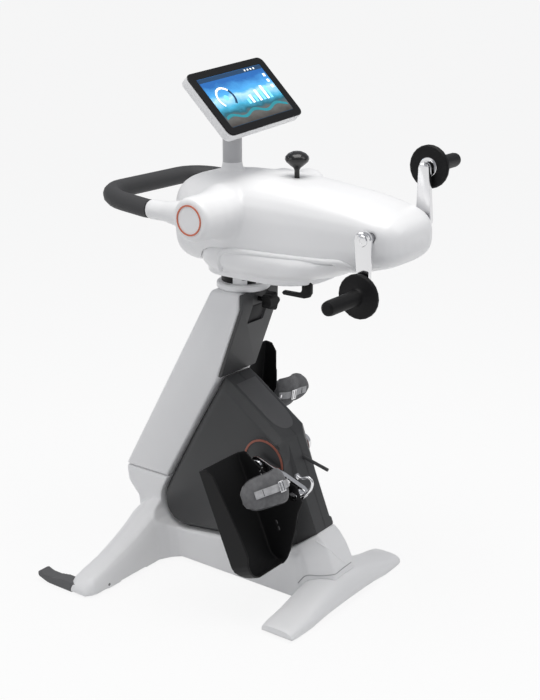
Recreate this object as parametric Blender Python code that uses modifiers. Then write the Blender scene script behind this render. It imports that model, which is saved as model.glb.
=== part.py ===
"""Rehabilitation exercise bike with leg cranks below and arm cranks in a swivelling head.

Metres, +Z up. The user sits at +X, the left pieces are on the -Y side.
The origin is on the floor, at the middle of the footprint.
"""
import math

import bmesh
import bpy
from mathutils import Matrix, Vector

# Driving dimensions
GAP = 0.0003                    # between pieces that meet
COLUMN_HALF = 0.070             # half the column's width
COLUMN_TOP = 0.736
SEAM_Z = 0.218                  # joint between column cover and base cover
LEAN = math.radians(29.6)       # the mast leans from vertical
MAST_TOP_X = -0.0525            # mast axis at the column's top, also the swivel axis
MAST_HALF = 0.022
MAST_LENGTH = 0.42
BASE_Z = 0.006                  # underside of the base covers
FRONT_HALF = 0.369              # half length of the front cross foot
SHOE_Y = (0.3375, 0.3685)       # a grey shoe under the tip of the cross foot
WHEEL = (-0.352, 0.0118)        # x and z of the transport wheel in the shoe
REAR_HALF = 0.238               # half length of the rear cross foot
REAR_MIDDLE_X = 0.219
BEAM_END_X = 0.1715
HOUSING_HALF = 0.067            # outer face of the leg drive housing
HOUSING_NOSE = 0.036            # half width of the nose that faces the user
HOUSING_RIM = 0.018             # how far the face stands out of the rim
LEG_AXIS = (0.058, 0.336)       # x and z of the leg crank axis
LEG_RADIUS = 0.128
LEG_ANGLE = math.radians(-17.0)
LEG_CRANK_Y = (0.0820, 0.0960)
COLLAR_RISE = 0.003             # of the round pad behind a leg crank
TRAY_Y = (0.112, 0.256)         # inner and outer face of a foot shell
TRAY_WALL = 0.004
TRAY_PIVOT = (0.1275, 0.129)    # pedal pin, along the sole and above it
TRAY_PITCH = (math.radians(-67.0), math.radians(-96.0))
ARM_AXIS = (0.358, 0.927)
ARM_RADIUS = 0.115
ARM_ANGLE = math.radians(-88.0)
ARM_CRANK_Y = (0.1185, 0.1305)
GRIP_Y = (0.139, 0.265)
GUARD_RADIUS = 0.0485
GRIP_RADIUS = 0.0165
TRAY_TOP_Z = 0.860              # ledge of the head's lower cover
HEAD_LOW_Z = 0.785
BOSS = (-0.019, 0.939)          # x and z of the handle bosses
BOSS_FACE = 0.235
BOSS_RADIUS = 0.050
LOOP_Y = 0.190
LOOP_Z = 0.947
LOOP_RADIUS = 0.022
LOOP_END_X = -0.335
LOOP_START_X = -0.170
POST_X = -0.083
POST_RADIUS = 0.0225
POST_TOP = 1.135
SCREEN_SIZE = (0.275, 0.172)    # across and up
SCREEN_DEPTH = 0.024
SCREEN_TILT = math.radians(44.0)
SCREEN_YAW = math.radians(4.0)
SCREEN_ROLL = math.radians(6.0)
SCREEN_PIN = (POST_X, 0.0, 1.170)
PIN_BEHIND = 0.040              # screen pin behind the front face
PIN_ABOVE = 0.019               # and above the screen's middle
KNOB_X = 0.100
CLAMP_Z = 0.7135                # height of the lobed clamp knob, whose lobes pass under the collar
SIDES = {"left": -1.0, "right": 1.0}

for old in list(bpy.data.objects):
    bpy.data.objects.remove(old, do_unlink=True)

parts = bpy.data.collections.new("rehab_bike")
cutters = bpy.data.collections.new("rehab_bike_cutters")
bpy.context.scene.collection.children.link(parts)
bpy.context.scene.collection.children.link(cutters)


def finish(name, colour, roughness, metallic=0.0):
    material = bpy.data.materials.new(name)
    material.use_nodes = True
    shader = material.node_tree.nodes["Principled BSDF"]
    shader.inputs["Base Color"].default_value = (*colour, 1.0)
    shader.inputs["Roughness"].default_value = roughness
    shader.inputs["Metallic"].default_value = metallic
    return material


COLOURS = {
    "white_abs": ((0.82, 0.82, 0.82), 0.30, 0.0),
    "charcoal_abs": ((0.075, 0.075, 0.078), 0.50, 0.0),
    "black_plastic": ((0.012, 0.012, 0.013), 0.40, 0.0),
    "grey_rubber": ((0.13, 0.13, 0.13), 0.65, 0.0),
    "chrome": ((0.75, 0.75, 0.76), 0.12, 1.0),
    "steel": ((0.45, 0.45, 0.47), 0.35, 1.0),
    "orange_ring": ((0.80, 0.20, 0.10), 0.40, 0.0),
    "grey_pad": ((0.16, 0.16, 0.165), 0.75, 0.0),
    "light_webbing": ((0.42, 0.42, 0.43), 0.70, 0.0),
    "glass": ((0.04, 0.12, 0.25), 0.10, 0.0),
    "rubber": ((0.02, 0.02, 0.02), 0.80, 0.0),
}


def pivot(name, location, parent=None):
    """An empty on a joint's axis, which carries the pieces that move with it."""
    empty = bpy.data.objects.new(name, None)
    parts.objects.link(empty)
    empty.location = location
    if parent is not None:
        empty.parent = parent
        empty.location = Vector(location) - parent_origin(parent)
    return empty


def parent_origin(parent):
    origin = Vector((0.0, 0.0, 0.0))
    while parent is not None:
        origin = origin + parent.location
        parent = parent.parent
    return origin


def place(obj, colour, parent):
    """Turn a finished shape into a named part that rides on its pivot."""
    parts.objects.link(obj)
    obj.data.materials.clear()
    obj.data.materials.append(finish(f"{obj.name}_{colour}", *COLOURS[colour]))
    if parent is not None:
        obj.parent = parent
        obj.location = obj.location - parent_origin(parent)
    for polygon in obj.data.polygons:
        polygon.use_smooth = True
    obj.data.set_sharp_from_angle(angle=math.radians(32))
    return obj


def hide(obj):
    cutters.objects.link(obj)
    obj.hide_render = True
    obj.display_type = "WIRE"
    return obj


def from_bmesh(name, bm):
    bmesh.ops.recalc_face_normals(bm, faces=bm.faces)
    mesh = bpy.data.meshes.new(name)
    bm.to_mesh(mesh)
    bm.free()
    return bpy.data.objects.new(name, mesh)


def bevel(obj, width, segments=2, angle=40.0):
    step = obj.modifiers.new("edge", "BEVEL")
    step.width = width
    step.segments = segments
    step.limit_method = "ANGLE"
    step.angle_limit = math.radians(angle)
    return obj


def boolean(obj, tool, operation="DIFFERENCE"):
    step = obj.modifiers.new(operation.lower(), "BOOLEAN")
    step.operation = operation
    step.solver = "EXACT"
    step.object = tool
    return obj


def arc(centre, radius, start, end, count):
    """Points on a round corner, in degrees."""
    points = []
    for i in range(count + 1):
        a = math.radians(start + (end - start) * i / count)
        points.append((centre[0] + radius * math.cos(a), centre[1] + radius * math.sin(a)))
    return points


def frame_of(axis):
    """Rotation that lays an XY outline flat against the given axis."""
    if axis == "Y":
        return Matrix.Rotation(math.radians(90), 4, "X")
    if axis == "X":
        return Matrix(((0, 0, 1, 0), (1, 0, 0, 0), (0, 1, 0, 0), (0, 0, 0, 1)))
    return Matrix.Identity(4)


def outline(name, points, low, high, axis="Y"):
    """A flat outline with thickness, from low to high along the axis."""
    curve = bpy.data.curves.new(name, "CURVE")
    curve.dimensions = "2D"
    curve.fill_mode = "BOTH"
    curve.extrude = (high - low) / 2
    spline = curve.splines.new("POLY")
    spline.points.add(len(points) - 1)
    for point, (u, v) in zip(spline.points, points):
        point.co = (u, v, 0.0, 1.0)
    spline.use_cyclic_u = True
    middle = (low + high) / 2
    shift = {"X": (middle, 0, 0), "Y": (0, middle, 0), "Z": (0, 0, middle)}[axis]
    return solid_of_curve(name, curve, Matrix.Translation(shift) @ frame_of(axis))


def solid_of_curve(name, curve, matrix=None):
    """The closed mesh of a curve, with its caps welded on."""
    holder = bpy.data.objects.new(name + "_curve", curve)
    bpy.context.scene.collection.objects.link(holder)
    bpy.context.view_layer.update()
    graph = bpy.context.evaluated_depsgraph_get()
    mesh = bpy.data.meshes.new_from_object(holder.evaluated_get(graph))
    bpy.data.objects.remove(holder, do_unlink=True)
    bm = bmesh.new()
    bm.from_mesh(mesh)
    bmesh.ops.remove_doubles(bm, verts=bm.verts, dist=0.00002)
    if matrix is not None:
        bmesh.ops.transform(bm, matrix=matrix, verts=bm.verts)
    return from_bmesh(name, bm)


def tube(name, path, radius, resolution=3):
    """A round bar along points."""
    curve = bpy.data.curves.new(name, "CURVE")
    curve.dimensions = "3D"
    curve.bevel_depth = radius
    curve.bevel_resolution = resolution
    curve.use_fill_caps = True
    spline = curve.splines.new("POLY")
    spline.points.add(len(path) - 1)
    for point, place_at in zip(spline.points, path):
        point.co = (*place_at, 1.0)
    return solid_of_curve(name, curve)


def lathe(name, profile, centre, axis="Z", steps=32):
    """A turned solid: (radius, height) points from the top down, closed on the axis or round."""
    mesh = bpy.data.meshes.new(name)
    closed = profile[0] == profile[-1]
    points = [(r, 0.0, h) for r, h in (profile[:-1] if closed else profile)]
    edges = [(i, i + 1) for i in range(len(points) - 1)]
    if closed:
        edges.append((len(points) - 1, 0))
    mesh.from_pydata(points, edges, [])
    obj = bpy.data.objects.new(name, mesh)
    turn = obj.modifiers.new("turn", "SCREW")
    turn.axis = "Z"
    turn.steps = steps
    turn.render_steps = steps
    turn.use_merge_vertices = True
    turn.merge_threshold = 0.00005
    turn.use_normal_calculate = False
    obj.location = centre
    if axis == "Y":
        obj.rotation_euler = (math.radians(-90), 0, 0)
    if axis == "-Y":
        obj.rotation_euler = (math.radians(90), 0, 0)
    if axis == "X":
        obj.rotation_euler = (0, math.radians(90), 0)
    if axis == "-X":
        obj.rotation_euler = (0, math.radians(-90), 0)
    return obj


def disc(radius, low, high, edge=0.0):
    """Profile of a plain disc, its rims broken by edge."""
    if edge == 0.0:
        return [(0, high), (radius, high), (radius, low), (0, low)]
    return [(0, high), (radius - edge, high), (radius, high - edge),
            (radius, low + edge), (radius - edge, low), (0, low)]


def ring(inner, outer, low, high):
    return [(inner, high), (outer, high), (outer, low), (inner, low), (inner, high)]


def block(name, size, centre):
    bm = bmesh.new()
    bmesh.ops.create_cube(bm, size=1.0)
    bmesh.ops.scale(bm, vec=size, verts=bm.verts)
    obj = from_bmesh(name, bm)
    obj.location = centre
    return obj


def loft(name, rings):
    """Skin over sections that have the same number of points."""
    bm = bmesh.new()
    rows = [[bm.verts.new(p) for p in section] for section in rings]
    count = len(rows[0])
    for low, high in zip(rows, rows[1:]):
        for i in range(count):
            j = (i + 1) % count
            bm.faces.new((low[i], low[j], high[j], high[i]))
    bm.faces.new(rows[0])
    bm.faces.new(rows[-1])
    return from_bmesh(name, bm)


def smooth_rows(table, values):
    """Read a table of stations at the given values, on a smooth curve through its rows."""
    rows = []
    for value in values:
        k = 0
        while k < len(table) - 2 and value > table[k + 1][0]:
            k += 1
        before = table[max(k - 1, 0)]
        start, end = table[k], table[k + 1]
        after = table[min(k + 2, len(table) - 1)]
        span = end[0] - start[0]
        t = min(max((value - start[0]) / span, 0.0), 1.0)
        row = []
        for c in range(1, len(start)):
            slope_in = (end[c] - before[c]) / max(end[0] - before[0], 1e-6) * span
            slope_out = (after[c] - start[c]) / max(after[0] - start[0], 1e-6) * span
            h = (2 * t**3 - 3 * t**2 + 1) * start[c] + (t**3 - 2 * t**2 + t) * slope_in
            h += (-2 * t**3 + 3 * t**2) * end[c] + (t**3 - t**2) * slope_out
            row.append(h)
        rows.append(row)
    return rows


def front_line(z):
    """x of the column's front face at a height."""
    return -0.0977 - math.tan(LEAN) * (COLUMN_TOP - z)


# Pivots, one for each moving body
mast = pivot("mast_pivot", (MAST_TOP_X, 0, COLUMN_TOP))
head = pivot("head_pivot", (MAST_TOP_X, 0, HEAD_LOW_Z), mast)
yoke = pivot("screen_swivel_pivot", (POST_X, 0, POST_TOP), head)
screen = pivot("screen_tilt_pivot", SCREEN_PIN, yoke)
arm = pivot("arm_crank_pivot", (ARM_AXIS[0], 0, ARM_AXIS[1]), head)
leg = pivot("leg_crank_pivot", (LEG_AXIS[0], 0, LEG_AXIS[1]))


def crank_point(axis, radius, angle, side):
    """Pin of a crank; the right crank is half a turn from the left one."""
    turned = angle if side < 0 else angle + math.pi
    return (axis[0] + radius * math.cos(turned), axis[1] + radius * math.sin(turned))


# Leg drive housing outline, from the column down round the beam and up the user side
HOUSING_OUTLINE = (
    [(-0.0745, 0.5165), (-0.169, 0.359)]
    + arc((-0.205, 0.155), 0.0675, 149, 277, 7)
    + [(0.130, 0.1285), (0.1905, 0.1735), (0.1403, 0.3000)]
    + arc((0.0800, 0.376), 0.028, 20, 60, 3)
    + [(-0.050, 0.5020)]
)
# Points of it that are chamfered back on the side faces: heel, tip and user's edge
CHAMFERED = {(0.130, 0.1285): (0.100, 0.1252), (0.1905, 0.1735): (0.1405, 0.1365),
             (0.1403, 0.3000): (0.1280, 0.3000)}
# Share of the rim's width at each point: it fades along the user's edge
RIM_SHARE = [1.0] * 11 + [0.6, 0.25, 0.3, 0.45, 0.7, 0.9, 1.0]


def housing_skin(name, side, layers):
    """Loft outwards from the middle plane, each layer an outline and its depth."""
    return loft(name, [[(x, side * y, z) for x, z in points] for points, y in layers])


def housing(side_name, side):
    """Half shell of the leg drive housing: a rim, then a face that stands out of it."""
    sign = side
    rim = HOUSING_HALF - HOUSING_RIM
    edge = [CHAMFERED.get(point, point) for point in HOUSING_OUTLINE]
    skin = [(HOUSING_OUTLINE, GAP / 2), (HOUSING_OUTLINE, HOUSING_NOSE), (edge, rim - 0.002),
            (inset(edge, 0.002, RIM_SHARE), rim), (inset(edge, 0.0135, RIM_SHARE), HOUSING_HALF - 0.003),
            (inset(edge, 0.0180, RIM_SHARE), HOUSING_HALF)]
    obj = housing_skin(f"housing_{side_name}", side, skin)
    wide = inset(HOUSING_OUTLINE, 0.005)
    room = [(wide, -0.02), (wide, HOUSING_NOSE - 0.003), (inset(edge, 0.006), rim - 0.004),
            (inset(edge, 0.0215), HOUSING_HALF - 0.006)]
    inner = housing_skin(f"housing_{side_name}_hollow", side, room)
    boolean(obj, hide(inner))
    low, high = HOUSING_NOSE, HOUSING_HALF + COLLAR_RISE
    collar = lathe(f"housing_{side_name}_collar", disc(0.0600, low, high, 0.001),
                   (LEG_AXIS[0], 0, LEG_AXIS[1]), "Y" if sign > 0 else "-Y", 28)
    boolean(obj, hide(collar), "UNION")
    bore = lathe(f"housing_{side_name}_bore", disc(0.0132, 0.030, 0.1),
                 (LEG_AXIS[0], 0, LEG_AXIS[1]), "Y" if sign > 0 else "-Y", 24)
    boolean(obj, hide(bore))
    return place(obj, "charcoal_abs", None)


def inset(points, distance, share=None):
    """Outline moved inwards by a distance, corner by corner, or by each corner's share of it."""
    count = len(points)
    area = sum(points[i][0] * points[(i + 1) % count][1] - points[(i + 1) % count][0] * points[i][1]
               for i in range(count))
    turn = 1.0 if area > 0 else -1.0
    moved = []
    for i in range(count):
        before, here, after = points[i - 1], points[i], points[(i + 1) % count]
        first = Vector((here[0] - before[0], here[1] - before[1])).normalized()
        second = Vector((after[0] - here[0], after[1] - here[1])).normalized()
        normal_a = Vector((-first.y, first.x)) * turn
        normal_b = Vector((-second.y, second.x)) * turn
        bisector = (normal_a + normal_b).normalized()
        scale = distance * (share[i] if share else 1.0) / max(bisector.dot(normal_a), 0.3)
        moved.append((here[0] + bisector.x * scale, here[1] + bisector.y * scale))
    return moved


# Front cross foot: |y|, lowest x, highest x, height, how hollow its outer flank is
FRONT_FOOT = [
    (0.000, -0.392, -0.190, 0.160, 1.70),
    (0.070, -0.390, -0.205, 0.150, 1.70),
    (0.090, -0.385, -0.226, 0.141, 1.60),
    (0.110, -0.374, -0.237, 0.130, 1.50),
    (0.170, -0.358, -0.240, 0.099, 1.30),
    (0.260, -0.334, -0.240, 0.068, 0.95),
    (0.300, -0.326, -0.240, 0.057, 0.75),
    (0.345, -0.318, -0.242, 0.044, 0.62),
    (0.362, -0.312, -0.250, 0.031, 0.62),
    (FRONT_HALF, -0.305, -0.258, 0.018, 0.62),
]


def front_foot(name, grow=0.0):
    """Loft along Y of humps that rise towards the column, their outer flank hollow near it."""
    stations = [FRONT_HALF, 0.365, 0.357, 0.345, 0.320, 0.296, 0.260, 0.220, 0.180, 0.145, 0.115, 0.090,
                0.070, 0.035]
    stations = [-s for s in stations] + [0.0] + stations[::-1]
    rings = []
    for y in stations:
        low, high, top, hollow = smooth_rows(FRONT_FOOT, [abs(y)])[0]
        low, high, top, bottom = low - grow, high + grow, top + grow, BASE_Z - grow
        middle, half = (low + high) / 2, (high - low) / 2
        section = []
        for i in range(13):
            a = math.pi * i / 12
            c, s = math.cos(a), abs(math.sin(a))
            if c > 0:
                x, z = middle + half * c ** 0.62, s ** 0.78
            else:
                x, z = middle - half * abs(c) ** hollow, s ** min(0.78 + 0.58 * (hollow - 0.62), 1.0)
            section.append((x, y + math.copysign(grow, y) * (abs(y) == FRONT_HALF),
                            bottom + (top - bottom) * z))
        rings.append(section)
    return loft(name, rings)


def base_cover():
    """Lower cover: the cross foot, the foot of the column and the long beam in one shell."""
    obj = front_foot("base_cover")
    stub_outline = (
        [(front_line(SEAM_Z), SEAM_Z), (-0.389, 0.196)]
        + [(-0.386, 0.176), (-0.370, 0.158), (-0.354, 0.142), (-0.349, 0.110), (-0.352, 0.060),
           (-0.345, BASE_Z + 0.002), (-0.150, BASE_Z + 0.002), (-0.150, 0.130), (-0.200, 0.200),
           (-0.252, SEAM_Z)]
    )
    stub = outline("base_stub", stub_outline, -COLUMN_HALF, COLUMN_HALF)
    bevel(stub, 0.010, 3, 80)
    boolean(obj, hide(stub), "UNION")
    beam_outline = [(-0.280, BASE_Z + 0.001), (BEAM_END_X, BASE_Z + 0.001), (BEAM_END_X, 0.129),
                    (-0.160, 0.093), (-0.280, 0.100)]
    beam = outline("base_beam", beam_outline, -0.0735, 0.0735)
    bevel(beam, 0.010, 3, 60)
    boolean(obj, hide(beam), "UNION")
    boolean(obj, hide(boot()), "UNION")
    pocket = outline("base_housing_room", inset(HOUSING_OUTLINE, -0.0004), -0.2, 0.2)
    boolean(obj, hide(pocket))
    flush = block("base_trim", (0.2, 0.4, 0.2), (-0.30, 0, SEAM_Z + 0.1))
    boolean(obj, hide(flush))
    boolean(obj, hide(rear_foot("base_foot_room", GAP)))
    return place(obj, "white_abs", None)


def boot():
    """The end of the base that rises over the housing's nose and hoods the rear foot."""
    near = 0.120

    def plan(corner, tip, half, slope, height):
        ring_points = [(near, -0.070), (corner, -0.070), (tip, -half), (tip, half), (corner, 0.070),
                       (near, 0.070)]
        return [(x, y, height + slope * (x - 0.137)) for x, y in ring_points]

    obj = loft("base_boot", [plan(0.192, 0.2475, 0.040, 0.00, 0.045),
                             plan(0.191, 0.2475, 0.040, 0.00, 0.075),
                             plan(0.187, 0.2450, 0.039, 0.00, 0.100),
                             plan(0.178, 0.2285, 0.037, 0.25, 0.112),
                             plan(0.165, 0.2090, 0.036, 0.55, 0.121),
                             plan(0.150, 0.1890, 0.0355, 0.85, 0.1325)])
    return bevel(obj, 0.004, 2, 22)


def column():
    """White column cover, open at the user side, with the mast's square guide."""
    back = [(-0.013, COLUMN_TOP), (-0.013, 0.700), (-0.081, 0.518), (-0.1697, 0.3595),
            (-0.2525, SEAM_Z + GAP)]
    points = [(front_line(SEAM_Z + GAP), SEAM_Z + GAP), (front_line(COLUMN_TOP), COLUMN_TOP)] + back
    obj = outline("column_cover", points, -COLUMN_HALF, COLUMN_HALF)
    bevel(obj, 0.010, 3, 60)
    pocket = outline("column_housing_room", inset(HOUSING_OUTLINE, -0.0004), -0.2, 0.2)
    boolean(obj, hide(pocket))
    length = MAST_LENGTH + 0.05
    side = 2 * (MAST_HALF + 0.001)
    guide = block("column_guide", (side, side, length), (0, 0, 0))
    guide.rotation_euler = (0, LEAN, 0)
    centre = -length / 2 + 0.04
    guide.location = (MAST_TOP_X + math.sin(LEAN) * centre, 0, COLUMN_TOP + math.cos(LEAN) * centre)
    boolean(obj, hide(guide))
    knob_way = lathe("column_knob_way", disc(0.0063, -0.058, 0.06), (0.0, 0, CLAMP_Z), "X", 16)
    boolean(obj, hide(knob_way))
    place(obj, "white_abs", None)

    low = 0.5205
    panel_points = [(-0.0127, COLUMN_TOP), (-0.0127, 0.6998), (-0.0800, low), (-0.0705, low),
                    (-0.0020, 0.7015), (-0.0020, COLUMN_TOP)]
    panel = outline("column_panel", panel_points, -COLUMN_HALF + 0.001, COLUMN_HALF - 0.001)
    bevel(panel, 0.003, 2, 50)
    panel_way = lathe("panel_knob_way", disc(0.0063, -0.04, 0.06), (0.0, 0, CLAMP_Z), "X", 16)
    boolean(panel, hide(panel_way))
    recess_outline = [(0.020, 0.7300), (-0.0075, 0.7300), (-0.0075, 0.7020), (-0.0253, 0.6550),
                      (0.020, 0.6550)]
    recess = outline("panel_recess", recess_outline, -0.031, 0.031)
    bevel(recess, 0.004, 2, 60)
    boolean(panel, hide(recess))
    place(panel, "charcoal_abs", None)


# Rear cross foot: |y|, half width, lowest z, highest z
REAR_FOOT = [
    (0.000, 0.047, 0.0135, 0.075),
    (0.060, 0.047, 0.0130, 0.071),
    (0.110, 0.047, 0.0110, 0.058),
    (0.160, 0.046, BASE_Z, 0.043),
    (0.200, 0.041, BASE_Z, 0.0335),
    (0.225, 0.029, BASE_Z, 0.027),
    (0.235, 0.017, BASE_Z, 0.021),
    (REAR_HALF, 0.009, BASE_Z, 0.016),
]


def rear_foot(name, grow=0.0):
    """Arched rear cross foot, highest under the boot, its ends rounded."""
    stations = [REAR_HALF, 0.235, 0.229, 0.220, 0.205, 0.185, 0.160, 0.130, 0.100, 0.070, 0.035]
    stations = [-s for s in stations] + [0.0] + stations[::-1]
    # Half section: across from the middle, and up as a share of the height
    profile = [(1.0, 0.0), (1.0, 0.35), (0.86, 0.72), (0.55, 0.92), (0.0, 1.0)]
    profile = profile + [(-across, up) for across, up in reversed(profile[:-1])]
    rings = []
    for y in stations:
        half, low, top = smooth_rows(REAR_FOOT, [abs(y)])[0]
        half, low, top = half + grow, max(low, BASE_Z) - grow, top + grow
        rings.append([(REAR_MIDDLE_X + half * across, y, low + (top - low) * up) for across, up in profile])
    return loft(name, rings)


def front_shoe(side_name, side):
    """Grey rubber bumper tucked under the tip of the cross foot, with a small transport wheel in it."""
    points = arc((-0.4110, 0.0115), 0.0090, 90, 270, 6) + [(-0.276, 0.0025), (-0.276, 0.0300),
                                                           (-0.335, 0.0290), (-0.365, 0.0235)]
    near, far = sorted((side * SHOE_Y[0], side * SHOE_Y[1]))
    obj = outline(f"front_shoe_{side_name}", points, near, far)
    bevel(obj, 0.0025, 2, 60)
    boolean(obj, hide(front_foot(f"shoe_{side_name}_foot_room", GAP)))
    middle = side * (SHOE_Y[0] + SHOE_Y[1]) / 2
    slot = block(f"shoe_{side_name}_slot", (0.024, 0.018, 0.0435), (WHEEL[0], middle, 0.0))
    boolean(obj, hide(slot))
    spin = "Y" if side > 0 else "-Y"
    hole = lathe(f"shoe_{side_name}_pin_way", disc(0.0026, -0.0135, 0.0135), (WHEEL[0], middle, WHEEL[1]),
                 spin, 12)
    boolean(obj, hide(hole))
    place(obj, "grey_rubber", None)
    roll = pivot(f"wheel_{side_name}_pivot", (WHEEL[0], middle, WHEEL[1]))
    wheel = lathe(f"transport_wheel_{side_name}",
                  [(0, 0.0125), (0.0022, 0.0125), (0.0022, 0.0080), (0.0080, 0.0080), (0.0095, 0.0065),
                   (0.0095, -0.0065),
                   (0.0080, -0.0080), (0.0022, -0.0080), (0.0022, -0.0125), (0, -0.0125)],
                  (WHEEL[0], middle, WHEEL[1]), "Y", 16)
    place(wheel, "rubber", roll)


def pad(name, x, y, height=BASE_Z):
    obj = lathe(name, disc(0.015, 0.0, height - GAP, 0.001), (x, y, 0), "Z", 14)
    return place(obj, "rubber", None)


def leg_cranks():
    """Axle with its belt pulley, and a crank with its pedal pin on each side."""
    axle = lathe("leg_axle",
                 [(0, LEG_CRANK_Y[1]), (0.0105, LEG_CRANK_Y[1]), (0.0105, LEG_CRANK_Y[0]),
                  (0.0125, LEG_CRANK_Y[0] - GAP),
                  (0.0125, 0.010), (0.052, 0.010), (0.052, -0.010), (0.0125, -0.010),
                  (0.0125, -LEG_CRANK_Y[0] + GAP), (0.0105, -LEG_CRANK_Y[0]), (0.0105, -LEG_CRANK_Y[1]),
                  (0, -LEG_CRANK_Y[1])],
                 (LEG_AXIS[0], 0, LEG_AXIS[1]), "Y", 24)
    place(axle, "steel", leg)
    for name, side in SIDES.items():
        ring_low = HOUSING_HALF + COLLAR_RISE + GAP
        accent = lathe(f"crank_ring_{name}", ring(0.0525, 0.0575, ring_low, ring_low + 0.0016),
                       (LEG_AXIS[0], 0, LEG_AXIS[1]), "Y" if side > 0 else "-Y", 32)
        place(accent, "orange_ring", None)
        pin = crank_point(LEG_AXIS, LEG_RADIUS, LEG_ANGLE, side)
        angle = math.degrees(math.atan2(pin[1] - LEG_AXIS[1], pin[0] - LEG_AXIS[0]))
        shape = (arc(LEG_AXIS, 0.023, angle + 82, angle + 278, 10)
                 + arc(pin, 0.0165, angle - 80, angle + 80, 8))
        low, high = LEG_CRANK_Y
        obj = outline(f"leg_crank_{name}", shape, low if side > 0 else -high, high if side > 0 else -low)
        bevel(obj, 0.002, 2, 60)
        spin = "Y" if side > 0 else "-Y"
        bore = lathe(f"leg_crank_{name}_bore", disc(0.0108, low - 0.01, high + 0.01),
                     (LEG_AXIS[0], 0, LEG_AXIS[1]), spin, 24)
        boolean(obj, hide(bore))
        spindle = lathe(f"leg_crank_{name}_pin",
                        [(0, 0.122), (0.011, 0.122), (0.011, 0.1165), (0.007, 0.1165), (0.007, 0.1115),
                         (0.012, 0.1105),
                         (0.012, low + 0.002), (0, low + 0.002)],
                        (pin[0], 0, pin[1]), spin, 24)
        boolean(obj, hide(spindle), "UNION")
        place(obj, "chrome", leg)


# Side view of a foot shell, along the sole and above it: the tall wall beside the crank
TRAY_SIDE = (
    [(0.0, 0.0), (0.235, 0.0)] + arc((0.240, 0.040), 0.040, -80, 0, 5)
    + [(0.256, 0.063), (0.208, 0.099), (0.168, 0.124), (0.148, 0.145), (0.107, 0.145), (0.088, 0.122),
       (0.056, 0.062), (0.0, 0.026)]
)
# Instep cuff of each side: its middle along the sole, and how far its outer end drops
CUFF = {"left": (0.092, 0.070), "right": (0.075, -0.006)}


def tray_matrix(side, pitch):
    """Places a foot shell drawn with its sole along X and its crank side at low Y."""
    pin = crank_point(LEG_AXIS, LEG_RADIUS, LEG_ANGLE, side)
    along = Vector((math.cos(pitch), 0, math.sin(pitch)))
    above = Vector((-math.sin(pitch), 0, math.cos(pitch)))
    matrix = Matrix.Identity(4)
    for row in range(3):
        matrix[row][0] = along[row]
        matrix[row][1] = (0.0, side, 0.0)[row]
        matrix[row][2] = above[row]
    start = Vector((pin[0], 0, pin[1])) - along * TRAY_PIVOT[0] - above * TRAY_PIVOT[1]
    matrix.translation = start
    return matrix


def lay(obj, matrix):
    """Move a mesh drawn in another frame, keeping its faces outwards when it is mirrored."""
    obj.data.transform(matrix)
    if matrix.determinant() < 0:
        obj.data.flip_normals()
    return obj


def baked(obj):
    """The object with its modifiers worked into its mesh."""
    linked = obj.users_collection
    if not linked:
        bpy.context.scene.collection.objects.link(obj)
    bpy.context.view_layer.update()
    graph = bpy.context.evaluated_depsgraph_get()
    mesh = bpy.data.meshes.new_from_object(obj.evaluated_get(graph))
    obj.modifiers.clear()
    bm = bmesh.new()
    bm.from_mesh(mesh)
    bmesh.ops.remove_doubles(bm, verts=bm.verts, dist=0.000002)
    bmesh.ops.dissolve_degenerate(bm, edges=bm.edges, dist=0.000005)
    bm.to_mesh(mesh)
    bm.free()
    obj.data = mesh
    if not linked:
        bpy.context.scene.collection.objects.unlink(obj)
    return obj


def heel_plan(name, inner, outer, heel, small, large):
    """Plan of a foot shell that rounds its heel, most of all on the outer side."""
    points = [(-0.08, inner - 0.01), (heel - small, inner - 0.01)]
    points = points + arc((heel - small, inner + small - 0.001), small, -90, 0, 4)
    points = points + arc((heel - large, outer - large + 0.001), large, 0, 90, 7)
    points = points + [(heel - large, outer + 0.01), (-0.08, outer + 0.01)]
    return outline(name, points, -0.05, 0.35, "Z")


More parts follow.
